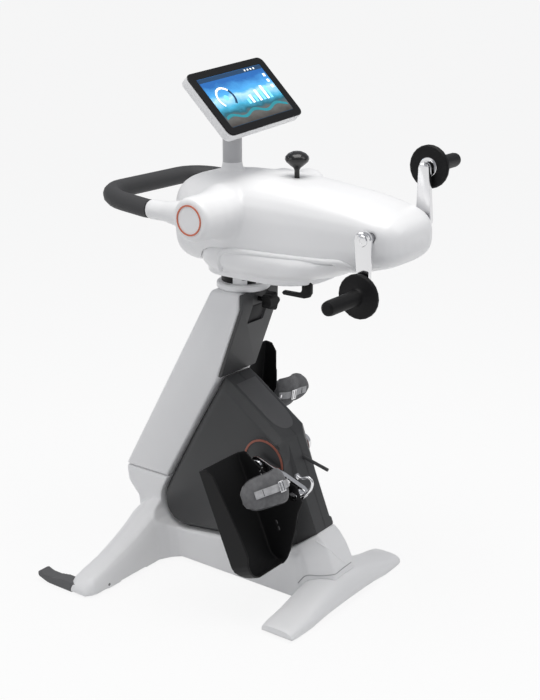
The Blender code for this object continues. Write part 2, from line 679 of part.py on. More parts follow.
def foot_shell(side_name, side, pitch, turn):
    """Foot shell: sole, heel, a tall wall by the crank and a low one outside, open at the toes."""
    inner, outer = TRAY_Y
    wall = TRAY_WALL
    matrix = tray_matrix(side, pitch)
    obj = outline(f"foot_shell_{side_name}", TRAY_SIDE, inner, outer)
    bevel(obj, 0.003, 2, 50)
    boolean(obj, hide(heel_plan(f"foot_shell_{side_name}_plan", inner, outer, 0.2805, 0.018, 0.055)),
            "INTERSECT")
    room_side = [(-0.05, wall), (0.235, wall)] + arc((0.240, 0.040), 0.040 - wall, -80, 0, 5)
    room_side = room_side + [(0.30, 0.075), (0.30, 0.30), (-0.05, 0.30)]
    room = outline(f"foot_shell_{side_name}_room", room_side, inner + wall, outer - wall)
    bevel(room, 0.008, 2, 60)
    room_plan = heel_plan(f"foot_shell_{side_name}_room_plan", inner + wall, outer - wall, 0.2765, 0.014,
                          0.051)
    boolean(room, hide(room_plan), "INTERSECT")
    boolean(obj, hide(room))
    low_side = [(-0.05, 0.016), (0.0, 0.022), (0.020, 0.038), (0.165, 0.058), (0.215, 0.062),
                (0.300, 0.030),
                (0.40, 0.03), (0.40, 0.30), (-0.05, 0.30)]
    lowered = outline(f"foot_shell_{side_name}_low", low_side, inner + wall + 0.012, outer + 0.05)
    boolean(obj, hide(lowered))
    for k, start in enumerate((0.050, 0.175)):
        slot = block(f"foot_shell_{side_name}_slot_{k}", (0.034, 0.05, 0.004),
                     (start + 0.017, inner, 0.052))
        boolean(obj, hide(slot))
    hole = lathe(f"foot_shell_{side_name}_hole", disc(0.0073, inner - 0.01, inner + 0.02),
                 (TRAY_PIVOT[0], 0, TRAY_PIVOT[1]), "Y", 24)
    boolean(obj, hide(hole))
    lay(baked(obj), matrix)
    place(obj, "black_plastic", turn)

    # Instep cuff: a padded strip that arches over the foot from the tall wall
    along, drop = CUFF[side_name]
    arch = []
    for i in range(9):
        t = i / 8
        y = inner + wall + 0.0030 + t * 0.118
        height = 0.132 + 0.012 * math.sin(math.pi * min(t * 1.6, 1.0)) - drop * t ** 1.7
        arch.append((y, height))
    rings = []
    for k, (y, height) in enumerate(arch):
        t = k / 8
        half = 0.040 * math.sqrt(max(1.0 - (2 * t - 1) ** 6, 0.0)) * (1.0 - 0.12 * t) + 0.010
        thick = 0.0085 * math.sqrt(max(1.0 - (2 * t - 1) ** 4, 0.0)) + 0.0030
        section = []
        for i in range(14):
            a = 2 * math.pi * i / 14
            c, s = math.cos(a), math.sin(a)
            section.append((along + half * math.copysign(abs(c) ** 0.8, c), y,
                            height + thick * math.copysign(abs(s) ** 0.9, s)))
        rings.append(section)
    cuff = loft(f"instep_cuff_{side_name}", rings)
    lay(cuff, matrix)
    place(cuff, "grey_pad", turn)

    # Strap over the cuff, with its buckle
    rows = []
    for k in range(1, 7):
        y, height = arch[k]
        t = k / 8
        thick = 0.0085 * math.sqrt(max(1.0 - (2 * t - 1) ** 4, 0.0)) + 0.0030 + 0.0008
        low, high = along - 0.009, along + 0.009
        rows.append([(low, y, height + thick), (high, y, height + thick),
                     (high, y, height + thick + 0.0016), (low, y, height + thick + 0.0016)])
    strap = loft(f"instep_strap_{side_name}", rows)
    buckle_y, buckle_z = arch[3]
    lean = math.atan2(arch[4][1] - arch[2][1], arch[4][0] - arch[2][0])
    lift = 0.0125 * math.cos(lean) + 0.0022
    buckle = block(f"buckle_{side_name}", (0.026, 0.016, 0.005),
                   (along, buckle_y - lift * math.sin(lean), buckle_z + lift * math.cos(lean)))
    buckle.rotation_euler = (lean, 0, 0)
    boolean(strap, hide(buckle), "UNION")
    lay(baked(strap), matrix)
    place(strap, "light_webbing", turn)


# Head: x, half width, lowest z, highest z
HEAD = [
    (-0.1780, 0.070, 0.852, 0.960),
    (-0.1740, 0.094, 0.828, 0.980),
    (-0.1610, 0.116, 0.809, 0.997),
    (-0.1200, 0.129, 0.801, 1.008),
    (0.0000, 0.130, 0.799, 1.014),
    (0.1000, 0.126, 0.801, 1.013),
    (0.2000, 0.120, 0.809, 1.004),
    (0.3000, 0.113, 0.829, 0.990),
    (0.3600, 0.106, 0.838, 0.976),
    (0.3900, 0.094, 0.847, 0.965),
    (0.4080, 0.074, 0.861, 0.951),
    (0.4170, 0.048, 0.880, 0.935),
    (0.4200, 0.016, 0.900, 0.914),
]
# Lower cover: height, and how far its outline is drawn in there
TRAY_LEVELS = [(HEAD_LOW_Z, 0.080), (HEAD_LOW_Z, 0.016), (0.790, 0.008), (0.799, 0.002), (0.811, 0.0),
               (0.842, 0.0),
               (0.852, 0.0025), (0.858, 0.008), (TRAY_TOP_Z, 0.015), (TRAY_TOP_Z, 0.080)]


def head_tray_outline(grow=0.0):
    """Plan of the head's lower cover, rounded at its corners."""
    x0, x1, half = -0.118 - grow, 0.292 + grow, 0.130 + grow
    r = 0.085 + grow
    return (arc((x1 - r, half - r), r, 90, 0, 6) + arc((x1 - r, -half + r), r, 0, -90, 6)
            + arc((x0 + r, -half + r), r, -90, -180, 6) + arc((x0 + r, half - r), r, 180, 90, 6))


def head_tray(name, levels, grow=0.0):
    """Pan with a lip that rolls over softly all round, and rises towards the user's end."""
    rings = []
    for z, drawn_in in levels:
        rings.append([(x, y, z + grow + 4.0 * max(x - 0.212, 0.0) ** 2)
                      for x, y in head_tray_outline(grow - drawn_in)])
    return loft(name, rings)


def head_covers():
    """Upper cover with the handle bosses and stubs, and the lower cover that forms the ledge."""
    stations = [-0.178, -0.1765, -0.171, -0.161, -0.145, -0.120, -0.07, 0.0, 0.06, 0.12, 0.18, 0.24, 0.30,
                0.34, 0.37,
                0.39, 0.402, 0.411, 0.417, 0.420]
    rings = []
    for x, (half, low, top) in zip(stations, smooth_rows(HEAD, stations)):
        middle, tall = (low + top) / 2, (top - low) / 2
        section = []
        for i in range(28):
            a = 2 * math.pi * (i + 0.5) / 28
            c, s = math.cos(a), math.sin(a)
            section.append((x, half * math.copysign(abs(c) ** 0.62, c),
                            middle + tall * math.copysign(abs(s) ** 0.62, s)))
        rings.append(section)
    obj = loft("head_upper_cover", rings)
    for name, side in SIDES.items():
        spin = "Y" if side > 0 else "-Y"
        profile = [(0, BOSS_FACE), (BOSS_RADIUS - 0.008, BOSS_FACE),
                   (BOSS_RADIUS - 0.002, BOSS_FACE - 0.003),
                   (BOSS_RADIUS, BOSS_FACE - 0.010), (BOSS_RADIUS + 0.001, 0.175),
                   (BOSS_RADIUS + 0.005, 0.150),
                   (BOSS_RADIUS + 0.014, 0.128), (BOSS_RADIUS + 0.016, 0.09), (0, 0.09)]
        boss = lathe(f"head_boss_{name}", profile, (BOSS[0], 0, BOSS[1]), spin, 26)
        boolean(obj, hide(boss), "UNION")
        stub = lathe(f"head_stub_{name}", [(0, 0.0), (0.034, 0.0), (0.032, -0.055), (0.0265, -0.085),
                                           (0.0235, -0.105),
                                           (0.0235, LOOP_START_X - BOSS[0]), (0, LOOP_START_X - BOSS[0])],
                     (BOSS[0], side * LOOP_Y, LOOP_Z - 0.008), "X", 18)
        boolean(obj, hide(stub), "UNION")
    under = HEAD_LOW_Z - 0.03
    tray_room = head_tray("head_tray_room", [(under, 0.080), (under, 0.0)] + TRAY_LEVELS[5:], 0.0004)
    boolean(obj, hide(tray_room))
    post_way = lathe("head_post_way", disc(POST_RADIUS + GAP, 0.960, 1.10), (POST_X, 0, 0), "Z", 32)
    boolean(obj, hide(post_way))
    motor_room = lathe("head_motor_room", [(0, 0.16), (0.0115, 0.16), (0.0115, 0.060), (0.0365, 0.060),
                                           (0.0365, -0.060),
                                           (0.0115, -0.060), (0.0115, -0.16), (0, -0.16)],
                       (ARM_AXIS[0], 0, ARM_AXIS[1]), "Y", 32)
    boolean(obj, hide(motor_room))
    knob_way = lathe("head_knob_way", disc(0.0062, 0.960, 1.05), (KNOB_X, 0, 0), "Z", 16)
    boolean(obj, hide(knob_way))
    place(obj, "white_abs", head)

    lower = head_tray("head_lower_cover", TRAY_LEVELS)
    lever_way = block("head_lever_way", (0.030, 0.0135, 0.034), (0.166, -0.05, HEAD_LOW_Z + 0.001))
    boolean(lower, hide(lever_way))
    place(lower, "white_abs", head)

    motor = lathe("arm_motor", ring(0.0115, 0.0360, -0.0595, 0.0595), (ARM_AXIS[0], 0, ARM_AXIS[1]), "Y",
                  32)
    place(motor, "steel", head)
    for name, side in SIDES.items():
        accent = lathe(f"boss_ring_{name}", ring(0.0308, 0.0342, BOSS_FACE + GAP, BOSS_FACE + GAP + 0.0014),
                       (BOSS[0], 0, BOSS[1]), "Y" if side > 0 else "-Y", 28)
        place(accent, "orange_ring", head)


def loop_handle():
    """Loop grip round the front of the head, from one handle stub to the other."""
    start, end, radius = LOOP_START_X - GAP, LOOP_END_X, 0.085
    z = LOOP_Z - 0.008
    level = start - 0.012
    plan = [(start, -LOOP_Y), (level, -LOOP_Y)]
    plan = plan + arc((end + radius, -LOOP_Y + radius), radius, 270, 180, 7)
    plan = plan + arc((end + radius, LOOP_Y - radius), radius, 180, 90, 7)
    plan = plan + [(level, LOOP_Y), (start, LOOP_Y)]
    path = [(x, y, z + 0.10 * max(level - x, 0.0)) for x, y in plan]
    obj = tube("loop_grip", path, LOOP_RADIUS, 4)
    place(obj, "grey_rubber", head)


def screen_matrix():
    """Frame of the screen: X out of its face, Y to the viewer's right, Z up its face."""
    normal = Vector((math.cos(SCREEN_YAW) * math.cos(SCREEN_TILT),
                     -math.sin(SCREEN_YAW) * math.cos(SCREEN_TILT),
                     math.sin(SCREEN_TILT)))
    right = Vector((math.sin(SCREEN_YAW), math.cos(SCREEN_YAW), 0))
    up = normal.cross(right)
    across = right * math.cos(SCREEN_ROLL) + up * math.sin(SCREEN_ROLL)
    upward = up * math.cos(SCREEN_ROLL) - right * math.sin(SCREEN_ROLL)
    matrix = Matrix.Identity(4)
    for row in range(3):
        matrix[row][0], matrix[row][1], matrix[row][2] = normal[row], across[row], upward[row]
    centre = Vector(SCREEN_PIN) + normal * PIN_BEHIND - upward * PIN_ABOVE
    matrix.translation = centre
    return matrix


def rounded(width, height, radius, count=4):
    w, h = width / 2 - radius, height / 2 - radius
    return (arc((w, h), radius, 0, 90, count) + arc((-w, h), radius, 90, 180, count)
            + arc((-w, -h), radius, 180, 270, count) + arc((w, -h), radius, 270, 360, count))


def screen_pieces():
    """Post, yoke, and the display: back shell with its lugs and pin, bezel and glass."""
    post = lathe("screen_post", [(0, POST_TOP), (POST_RADIUS - 0.001, POST_TOP),
                                 (POST_RADIUS, POST_TOP - 0.001),
                                 (POST_RADIUS, 0.961), (0, 0.961)], (POST_X, 0, 0), "Z", 32)
    place(post, "white_abs", head)

    matrix = screen_matrix()
    foot = lathe("screen_yoke", disc(POST_RADIUS, GAP, 0.009, 0.001), (POST_X, 0, POST_TOP), "Z", 32)
    knuckle = outline("yoke_knuckle", arc((-PIN_BEHIND, PIN_ABOVE), 0.0115, -20, 200, 8)
                      + [(-PIN_BEHIND - 0.0200, -0.012), (-PIN_BEHIND - 0.006, -0.0155)], -0.0125, 0.0125)
    lay(knuckle, matrix)
    boolean(foot, hide(knuckle), "UNION")
    trim = block("yoke_trim", (0.2, 0.2, 0.1), (POST_X, 0, POST_TOP + GAP - 0.05))
    boolean(foot, hide(trim))
    pin_way = lathe("yoke_pin_way", disc(0.0054, -0.03, 0.03), (-PIN_BEHIND, 0, PIN_ABOVE), "Y", 20)
    lay_live(pin_way, matrix)
    boolean(foot, hide(pin_way))
    place(foot, "charcoal_abs", yoke)

    width, height = SCREEN_SIZE
    back = outline("screen_back", rounded(width, height, 0.016), -SCREEN_DEPTH, 0.012, "X")
    bevel(back, 0.006, 3, 60)
    front = block("screen_front_trim", (0.05, 0.4, 0.4), (0.025 - 0.0035, 0, 0))
    boolean(back, hide(front))
    seat = outline("screen_seat", rounded(width - 0.006, height - 0.006, 0.013), -0.0075, 0.01, "X")
    boolean(back, hide(seat))
    for k in (-1, 1):
        lug_outline = (arc((-PIN_BEHIND, PIN_ABOVE), 0.0110, 90, 270, 8)
                       + [(-SCREEN_DEPTH + 0.002, PIN_ABOVE - 0.011),
                          (-SCREEN_DEPTH + 0.002, PIN_ABOVE + 0.011)])
        lug = outline(f"screen_lug_{k + 1}", lug_outline, *sorted((k * 0.0130, k * 0.0210)))
        boolean(back, hide(lug), "UNION")
    pin = lathe("screen_pin", disc(0.0050, -0.018, 0.018), (-PIN_BEHIND, 0, PIN_ABOVE), "Y", 20)
    boolean(back, hide(pin), "UNION")
    lay(baked(back), matrix)
    place(back, "white_abs", screen)

    bezel = outline("screen_bezel", rounded(width, height, 0.016), -0.0032, 0.0, "X")
    bevel(bezel, 0.001, 1, 60)
    tongue = outline("bezel_tongue", rounded(width - 0.0068, height - 0.0068, 0.0126), -0.0071, -0.002, "X")
    boolean(bezel, hide(tongue), "UNION")
    window = outline("bezel_window", rounded(0.2320, 0.1360, 0.004, 2), -0.0042, 0.01, "X")
    boolean(bezel, hide(window))
    lay(baked(bezel), matrix)
    place(bezel, "black_plastic", screen)

    glass = outline("screen_glass", rounded(0.2314, 0.1354, 0.0038, 2), -0.0039, -0.0008, "X")
    lay(glass, matrix)
    place(glass, "glass", screen)


def lay_live(obj, matrix):
    """Place a turned tool in another frame through its object transform."""
    obj.matrix_world = matrix @ Matrix.LocRotScale(obj.location, obj.rotation_euler, None)
    return obj


def arm_cranks():
    """Axle through the head, and a chrome crank and a guarded hand grip on each side."""
    low, high = ARM_CRANK_Y
    axle = lathe("arm_axle", disc(0.0110, -high + 0.002, high - 0.002, 0.001),
                 (ARM_AXIS[0], 0, ARM_AXIS[1]), "Y", 20)
    place(axle, "steel", arm)
    for name, side in SIDES.items():
        pin = crank_point(ARM_AXIS, ARM_RADIUS, ARM_ANGLE, side)
        angle = math.degrees(math.atan2(pin[1] - ARM_AXIS[1], pin[0] - ARM_AXIS[0]))
        shape = (arc(ARM_AXIS, 0.0190, angle + 88, angle + 272, 10)
                 + arc(pin, 0.0130, angle - 86, angle + 86, 8))
        spin = "Y" if side > 0 else "-Y"
        obj = outline(f"arm_crank_{name}", shape, low if side > 0 else -high, high if side > 0 else -low)
        bevel(obj, 0.0025, 2, 60)
        bore = lathe(f"arm_crank_{name}_bore", disc(0.0113, low - 0.01, high - 0.0015),
                     (ARM_AXIS[0], 0, ARM_AXIS[1]), spin, 24)
        boolean(obj, hide(bore))
        spindle = lathe(f"arm_crank_{name}_pin", disc(0.0060, low + 0.003, 0.250), (pin[0], 0, pin[1]),
                        spin, 20)
        boolean(obj, hide(spindle), "UNION")
        place(obj, "chrome", arm)
        turn = pivot(f"grip_{name}_pivot", (pin[0], side * GRIP_Y[0], pin[1]), arm)
        start, tip = GRIP_Y
        profile = [(0, tip), (0.010, tip), (0.0150, tip - 0.004), (GRIP_RADIUS, tip - 0.012),
                   (GRIP_RADIUS, start + 0.020),
                   (0.019, start + 0.015), (0.024, start + 0.012), (GUARD_RADIUS - 0.003, start + 0.0115),
                   (GUARD_RADIUS, start + 0.0085), (GUARD_RADIUS, start + 0.0035),
                   (GUARD_RADIUS - 0.003, start),
                   (0.0064, start), (0.0064, 0.2506), (0, 0.2506)]
        grip = lathe(f"hand_grip_{name}", profile, (pin[0], 0, pin[1]), spin, 22)
        place(grip, "black_plastic", turn)


def controls():
    """Height clamp knob, push knob on the head, swivel release lever and the peg on the user face."""
    turn = pivot("height_knob_pivot", (0.012, 0, CLAMP_Z))
    lobes = []
    for i in range(30):
        a = 2 * math.pi * i / 30
        r = 0.0200 + 0.0028 * math.cos(5 * a)
        lobes.append((r * math.cos(a), CLAMP_Z + r * math.sin(a)))
    knob = outline("height_knob", lobes, 0.0138, 0.0390, "X")
    bevel(knob, 0.002, 1, 60)
    screw = lathe("height_knob_screw", disc(0.0056, -0.0355, 0.016), (0.0, 0, CLAMP_Z), "X", 16)
    boolean(knob, hide(screw), "UNION")
    place(knob, "black_plastic", turn)

    press = pivot("push_knob_pivot", (KNOB_X, 0, 1.02), head)
    cap = [(0, 1.0710), (0.010, 1.0700), (0.020, 1.0655), (0.0262, 1.0590), (0.0275, 1.0530),
           (0.0250, 1.0470),
           (0.0160, 1.0390), (0.0085, 1.0335), (0.0058, 1.0280), (0.0058, 0.9760), (0, 0.9760)]
    push = lathe("push_knob", cap, (KNOB_X, 0, 0), "Z", 20)
    place(push, "black_plastic", press)

    swing = pivot("swivel_lever_pivot", (0.165, -0.05, HEAD_LOW_Z + 0.004), head)
    hook = [(0.1780, 0.7930), (0.1780, 0.7660), (0.1725, 0.7570), (0.1600, 0.7530), (0.1030, 0.7530),
            (0.0988, 0.7578),
            (0.1030, 0.7625), (0.1420, 0.7632), (0.1510, 0.7665), (0.1540, 0.7730), (0.1540, 0.7930)]
    lever = outline("swivel_lever", hook, -0.056, -0.044)
    bevel(lever, 0.002, 2, 60)
    place(lever, "black_plastic", swing)

    peg = tube("user_face_peg", [(0.1150, 0, 0.3459), (0.165, 0, 0.3340), (0.195, 0, 0.3270)], 0.0042, 2)
    boolean(peg, hide(outline("peg_root", inset(HOUSING_OUTLINE, -GAP), -0.02, 0.02)))
    place(peg, "charcoal_abs", None)


def mast_pieces():
    """Leaning mast tube, collar that closes the column and the turntable under the head."""
    side = 2 * MAST_HALF
    obj = block("mast_tube", (side, side, MAST_LENGTH), (0, 0, 0))
    obj.rotation_euler = (0, LEAN, 0)
    centre = -MAST_LENGTH / 2 + 0.02
    obj.location = (MAST_TOP_X + math.sin(LEAN) * centre, 0, COLUMN_TOP + math.cos(LEAN) * centre)
    bevel(obj, 0.004, 2, 60)
    bore = block("mast_bore", (side - 0.006, side - 0.006, MAST_LENGTH + 0.1), tuple(obj.location))
    bore.rotation_euler = (0, LEAN, 0)
    boolean(obj, hide(bore))
    level = block("mast_level", (0.3, 0.3, 0.1), (MAST_TOP_X, 0, COLUMN_TOP + 0.05))
    boolean(obj, hide(level))
    place(obj, "steel", mast)

    collar = lathe("swivel_collar", disc(0.064, COLUMN_TOP + GAP, 0.7520, 0.003), (MAST_TOP_X, 0, 0), "Z",
                   28)
    place(collar, "white_abs", mast)
    turntable = lathe("turntable", disc(0.052, 0.7520 + GAP, HEAD_LOW_Z - GAP, 0.001), (MAST_TOP_X, 0, 0),
                      "Z", 24)
    for k in range(4):
        a = math.pi / 4 + k * math.pi / 2
        notch = block(f"turntable_notch_{k}", (0.016, 0.020, 0.012),
                      (MAST_TOP_X + 0.052 * math.cos(a), 0.052 * math.sin(a), 0.768))
        notch.rotation_euler = (0, 0, a)
        boolean(turntable, hide(notch))
    place(turntable, "black_plastic", head)


def leg_drive():
    """Motor with its pulley, and the belt to the crank pulley, inside the housing."""
    motor_x, motor_z = -0.120, 0.235
    motor = lathe("leg_motor", disc(0.045, 0.012, 0.048, 0.002), (motor_x, 0, motor_z), "Y", 20)
    place(motor, "steel", None)
    spin = pivot("motor_pulley_pivot", (motor_x, 0, motor_z))
    pulley = lathe("motor_pulley", disc(0.020, -0.0100, 0.0115, 0.001), (motor_x, 0, motor_z), "Y", 20)
    place(pulley, "steel", spin)
    big, small, thick = 0.0525, 0.0205, 0.002
    distance = math.hypot(LEG_AXIS[0] - motor_x, LEG_AXIS[1] - motor_z)
    heading = math.degrees(math.atan2(motor_z - LEG_AXIS[1], motor_x - LEG_AXIS[0]))
    wrap = math.degrees(math.acos((big - small) / distance))

    def loop(grow):
        points = arc(LEG_AXIS, big + grow, heading + wrap, heading + 360 - wrap, 22)
        return points + arc((motor_x, motor_z), small + grow, heading - wrap, heading + wrap, 8)

    belt = outline("drive_belt", loop(thick), -0.008, 0.008)
    hollow = outline("drive_belt_hollow", loop(0.0), -0.02, 0.02)
    boolean(belt, hide(hollow))
    place(belt, "rubber", None)


base_cover()
column()
place(rear_foot("rear_foot"), "white_abs", None)
for side_name, side_sign in SIDES.items():
    housing(side_name, side_sign)
    front_shoe(side_name, side_sign)
    pad(f"front_pad_{side_name}", -0.300, side_sign * 0.320)
    pad(f"rear_pad_{side_name}", 0.2165, side_sign * 0.180)
leg_drive()
leg_cranks()
for side_name, side_sign in SIDES.items():
    pin_x, pin_z = crank_point(LEG_AXIS, LEG_RADIUS, LEG_ANGLE, side_sign)
    foot = pivot(f"foot_{side_name}_pivot", (pin_x, side_sign * TRAY_Y[0], pin_z), leg)
    foot_shell(side_name, side_sign, TRAY_PITCH[0 if side_sign < 0 else 1], foot)
mast_pieces()
head_covers()
loop_handle()
screen_pieces()
arm_cranks()
controls()
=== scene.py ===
import math

import bmesh
import bpy
from mathutils import Matrix, Vector


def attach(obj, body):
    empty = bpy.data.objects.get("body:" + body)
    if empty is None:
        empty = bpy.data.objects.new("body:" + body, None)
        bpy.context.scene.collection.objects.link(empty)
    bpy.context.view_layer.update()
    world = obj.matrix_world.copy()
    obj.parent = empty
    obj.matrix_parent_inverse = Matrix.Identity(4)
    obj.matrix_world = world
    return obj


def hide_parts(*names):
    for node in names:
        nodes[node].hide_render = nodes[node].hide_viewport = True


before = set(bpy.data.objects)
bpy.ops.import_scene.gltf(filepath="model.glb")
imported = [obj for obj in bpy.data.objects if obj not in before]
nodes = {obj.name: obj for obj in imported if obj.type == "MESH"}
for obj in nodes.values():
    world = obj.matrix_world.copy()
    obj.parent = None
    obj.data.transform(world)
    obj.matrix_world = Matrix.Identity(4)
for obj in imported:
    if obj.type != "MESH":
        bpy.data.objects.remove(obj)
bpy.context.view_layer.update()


# Studio: a pale seamless floor, a bright world and soft lamps, seen from the photograph's place.
# The floor shows nearly white to the camera and in gloss, and still takes the machine's shadow.
scene = bpy.context.scene
scene.view_settings.view_transform = "Standard"

bpy.ops.object.select_all(action="DESELECT")
bpy.ops.object.camera_add(location=(1.7336, -2.2997, 1.5282))
camera = bpy.context.object
camera.name = "studio_camera"
aim = Vector((0.025, 0.0, 0.5918)) - camera.location
camera.rotation_euler = aim.to_track_quat("-Z", "Y").to_euler()
photo_height, focal_length = 700.0, 1272.92  # both in pixels of the photograph
sensor_height = 36.0
camera.data.sensor_fit = "VERTICAL"
camera.data.sensor_height = sensor_height
camera.data.lens = sensor_height * focal_length / photo_height
camera.data.clip_end = 400.0
scene.camera = camera

world = bpy.data.worlds.new("studio_world")
scene.world = world
world.use_nodes = True
sky = world.node_tree
sky.nodes.clear()
sky_out = sky.nodes.new("ShaderNodeOutputWorld")
sky_mix = sky.nodes.new("ShaderNodeMixShader")
sky_light = sky.nodes.new("ShaderNodeBackground")
sky_light.inputs["Color"].default_value = (0.93, 0.95, 1.0, 1.0)
sky_light.inputs["Strength"].default_value = 0.40
sky_seen = sky.nodes.new("ShaderNodeBackground")
sky_seen.inputs["Color"].default_value = (1.0, 1.0, 1.0, 1.0)
sky_seen.inputs["Strength"].default_value = 1.0
sky_path = sky.nodes.new("ShaderNodeLightPath")
sky.links.new(sky_path.outputs["Is Camera Ray"], sky_mix.inputs["Fac"])
sky.links.new(sky_light.outputs[0], sky_mix.inputs[1])
sky.links.new(sky_seen.outputs[0], sky_mix.inputs[2])
sky.links.new(sky_mix.outputs[0], sky_out.inputs["Surface"])

bpy.ops.mesh.primitive_plane_add(size=160.0, location=(0.0, 0.0, -0.0002))
floor = bpy.context.object
floor.name = "studio_floor"
floor_finish = bpy.data.materials.new("studio_floor_paper")
floor_finish.use_nodes = True
paper = floor_finish.node_tree
paper.nodes.clear()
paper_out = paper.nodes.new("ShaderNodeOutputMaterial")
paper_mix = paper.nodes.new("ShaderNodeMixShader")
paper_matt = paper.nodes.new("ShaderNodeBsdfDiffuse")
paper_matt.inputs["Color"].default_value = (0.86, 0.86, 0.86, 1.0)
paper_glow = paper.nodes.new("ShaderNodeEmission")
paper_glow.inputs["Strength"].default_value = 1.0
paper_path = paper.nodes.new("ShaderNodeLightPath")
paper_any = paper.nodes.new("ShaderNodeMath")
paper_any.operation = "MAXIMUM"
paper_share = paper.nodes.new("ShaderNodeMath")
paper_share.operation = "MULTIPLY"
paper_share.inputs[1].default_value = 0.88
paper.links.new(paper_path.outputs["Is Camera Ray"], paper_any.inputs[0])
paper.links.new(paper_path.outputs["Is Glossy Ray"], paper_any.inputs[1])
paper.links.new(paper_any.outputs[0], paper_share.inputs[0])
paper.links.new(paper_share.outputs[0], paper_mix.inputs["Fac"])
paper.links.new(paper_matt.outputs[0], paper_mix.inputs[1])
paper.links.new(paper_glow.outputs[0], paper_mix.inputs[2])
paper.links.new(paper_mix.outputs[0], paper_out.inputs["Surface"])
floor.data.materials.append(floor_finish)


def soft_lamp(name, place, target, width, height, power):
    """A soft box that points at the machine."""
    bpy.ops.object.light_add(type="AREA", location=place)
    lamp = bpy.context.object
    lamp.name = name
    lamp.rotation_euler = (Vector(target) - Vector(place)).to_track_quat("-Z", "Y").to_euler()
    lamp.data.shape = "RECTANGLE"
    lamp.data.size = width
    lamp.data.size_y = height
    lamp.data.energy = power
    lamp.data.color = (1.0, 0.99, 0.97)


soft_lamp("lamp_overhead", (0.35, -0.35, 3.4), (0.0, 0.0, 0.6), 2.4, 2.0, 60.0)
soft_lamp("lamp_front_left", (-2.2, -3.0, 2.2), (0.0, 0.0, 0.7), 1.8, 2.2, 17.0)
soft_lamp("lamp_user_side", (2.6, 0.9, 2.8), (0.0, 0.0, 0.7), 1.4, 2.0, 14.0)


# White base: front cross foot, beam and boot in one satin injection-moulded ABS cover.
# It shows a very fine orange-peel skin and a slightly uneven gloss, as moulded covers do.
def moulded_plastic(name, colour, roughness, grain=700.0, relief=0.00004, tint=0.03, coat=0.0, shine=0.5):
    """Moulded plastic: fine skin in the bump, slow change of tone and gloss over the surface."""
    material = bpy.data.materials.new(name)
    material.use_nodes = True
    tree = material.node_tree
    shader = tree.nodes["Principled BSDF"]
    shader.inputs["Coat Weight"].default_value = coat
    shader.inputs["Coat Roughness"].default_value = 0.12
    shader.inputs["Specular IOR Level"].default_value = shine
    place = tree.nodes.new("ShaderNodeTexCoord")
    skin = tree.nodes.new("ShaderNodeTexNoise")
    skin.inputs["Scale"].default_value = grain
    skin.inputs["Detail"].default_value = 3.0
    tree.links.new(place.outputs["Object"], skin.inputs["Vector"])
    bump = tree.nodes.new("ShaderNodeBump")
    bump.inputs["Distance"].default_value = relief
    bump.inputs["Strength"].default_value = 0.6
    tree.links.new(skin.outputs["Fac"], bump.inputs["Height"])
    tree.links.new(bump.outputs["Normal"], shader.inputs["Normal"])
    cloud = tree.nodes.new("ShaderNodeTexNoise")
    cloud.inputs["Scale"].default_value = 9.0
    cloud.inputs["Detail"].default_value = 4.0
    tree.links.new(place.outputs["Object"], cloud.inputs["Vector"])
    tone = tree.nodes.new("ShaderNodeValToRGB")
    tone.color_ramp.elements[0].position = 0.3
    tone.color_ramp.elements[1].position = 0.7
    tone.color_ramp.elements[0].color = (*[c * (1.0 - tint) for c in colour], 1.0)
    tone.color_ramp.elements[1].color = (*[min(c * (1.0 + tint), 1.0) for c in colour], 1.0)
    tree.links.new(cloud.outputs["Fac"], tone.inputs["Fac"])
    tree.links.new(tone.outputs["Color"], shader.inputs["Base Color"])
    gloss = tree.nodes.new("ShaderNodeMapRange")
    gloss.inputs["To Min"].default_value = roughness - 0.05
    gloss.inputs["To Max"].default_value = roughness + 0.05
    tree.links.new(cloud.outputs["Fac"], gloss.inputs["Value"])
    tree.links.new(gloss.outputs["Result"], shader.inputs["Roughness"])
    return material


def only(piece):
    """Makes a piece the one that the next operators act on."""
    bpy.ops.object.select_all(action="DESELECT")
    piece.select_set(True)
    bpy.context.view_layer.objects.active = piece


def dress(names, material, crease=34.0):
    """Gives CAD nodes their finish and lets the light run over their facets up to the crease angle."""
    for name in names:
        node = nodes[name]
        only(node)
        if node.data.has_custom_normals:
            bpy.ops.mesh.customdata_custom_splitnormals_clear()
        node.data.materials.clear()
        node.data.materials.append(material)
        node.data.polygons.foreach_set("use_smooth", [True] * len(node.data.polygons))
        weld = node.modifiers.new("weld", "WELD")
        weld.merge_threshold = 0.00001
        split = node.modifiers.new("crease", "EDGE_SPLIT")
        split.split_angle = math.radians(crease)
        split.use_edge_sharp = False


def work(piece, kind, **settings):
    """Adds a modifier and works it into the mesh."""
    only(piece)
    step = piece.modifiers.new("step", kind)
    for key, value in settings.items():
        setattr(step, key, value)
    bpy.ops.object.modifier_apply(modifier="step")


def fit(piece, body, material, stands_for=(), crease=None):
    """Finishes a piece: smooth shading, its material, the body it rides on, the nodes it stands for."""
    only(piece)
    if crease is None:
        bpy.ops.object.shade_smooth()
    else:
        bpy.ops.object.shade_smooth_by_angle(angle=math.radians(crease))
    piece.data.materials.clear()
    piece.data.materials.append(material)
    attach(piece, body)
    if stands_for:
        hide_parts(*stands_for)
    return piece


def soft_copy(name, node_name, voxel, passes):
    """Copies a CAD cover and rounds its edges over, as the mould does."""
    piece = bpy.data.objects.new(name, nodes[node_name].data.copy())
    bpy.context.collection.objects.link(piece)
    only(piece)
    if piece.data.has_custom_normals:
        bpy.ops.mesh.customdata_custom_splitnormals_clear()
    bpy.ops.object.mode_set(mode="EDIT")
    bpy.ops.mesh.select_all(action="SELECT")
    bpy.ops.mesh.remove_doubles(threshold=0.00002)
    bpy.ops.object.mode_set(mode="OBJECT")
    work(piece, "REMESH", mode="VOXEL", voxel_size=voxel)
    if passes:
        work(piece, "SMOOTH", factor=0.5, iterations=passes)
    return piece


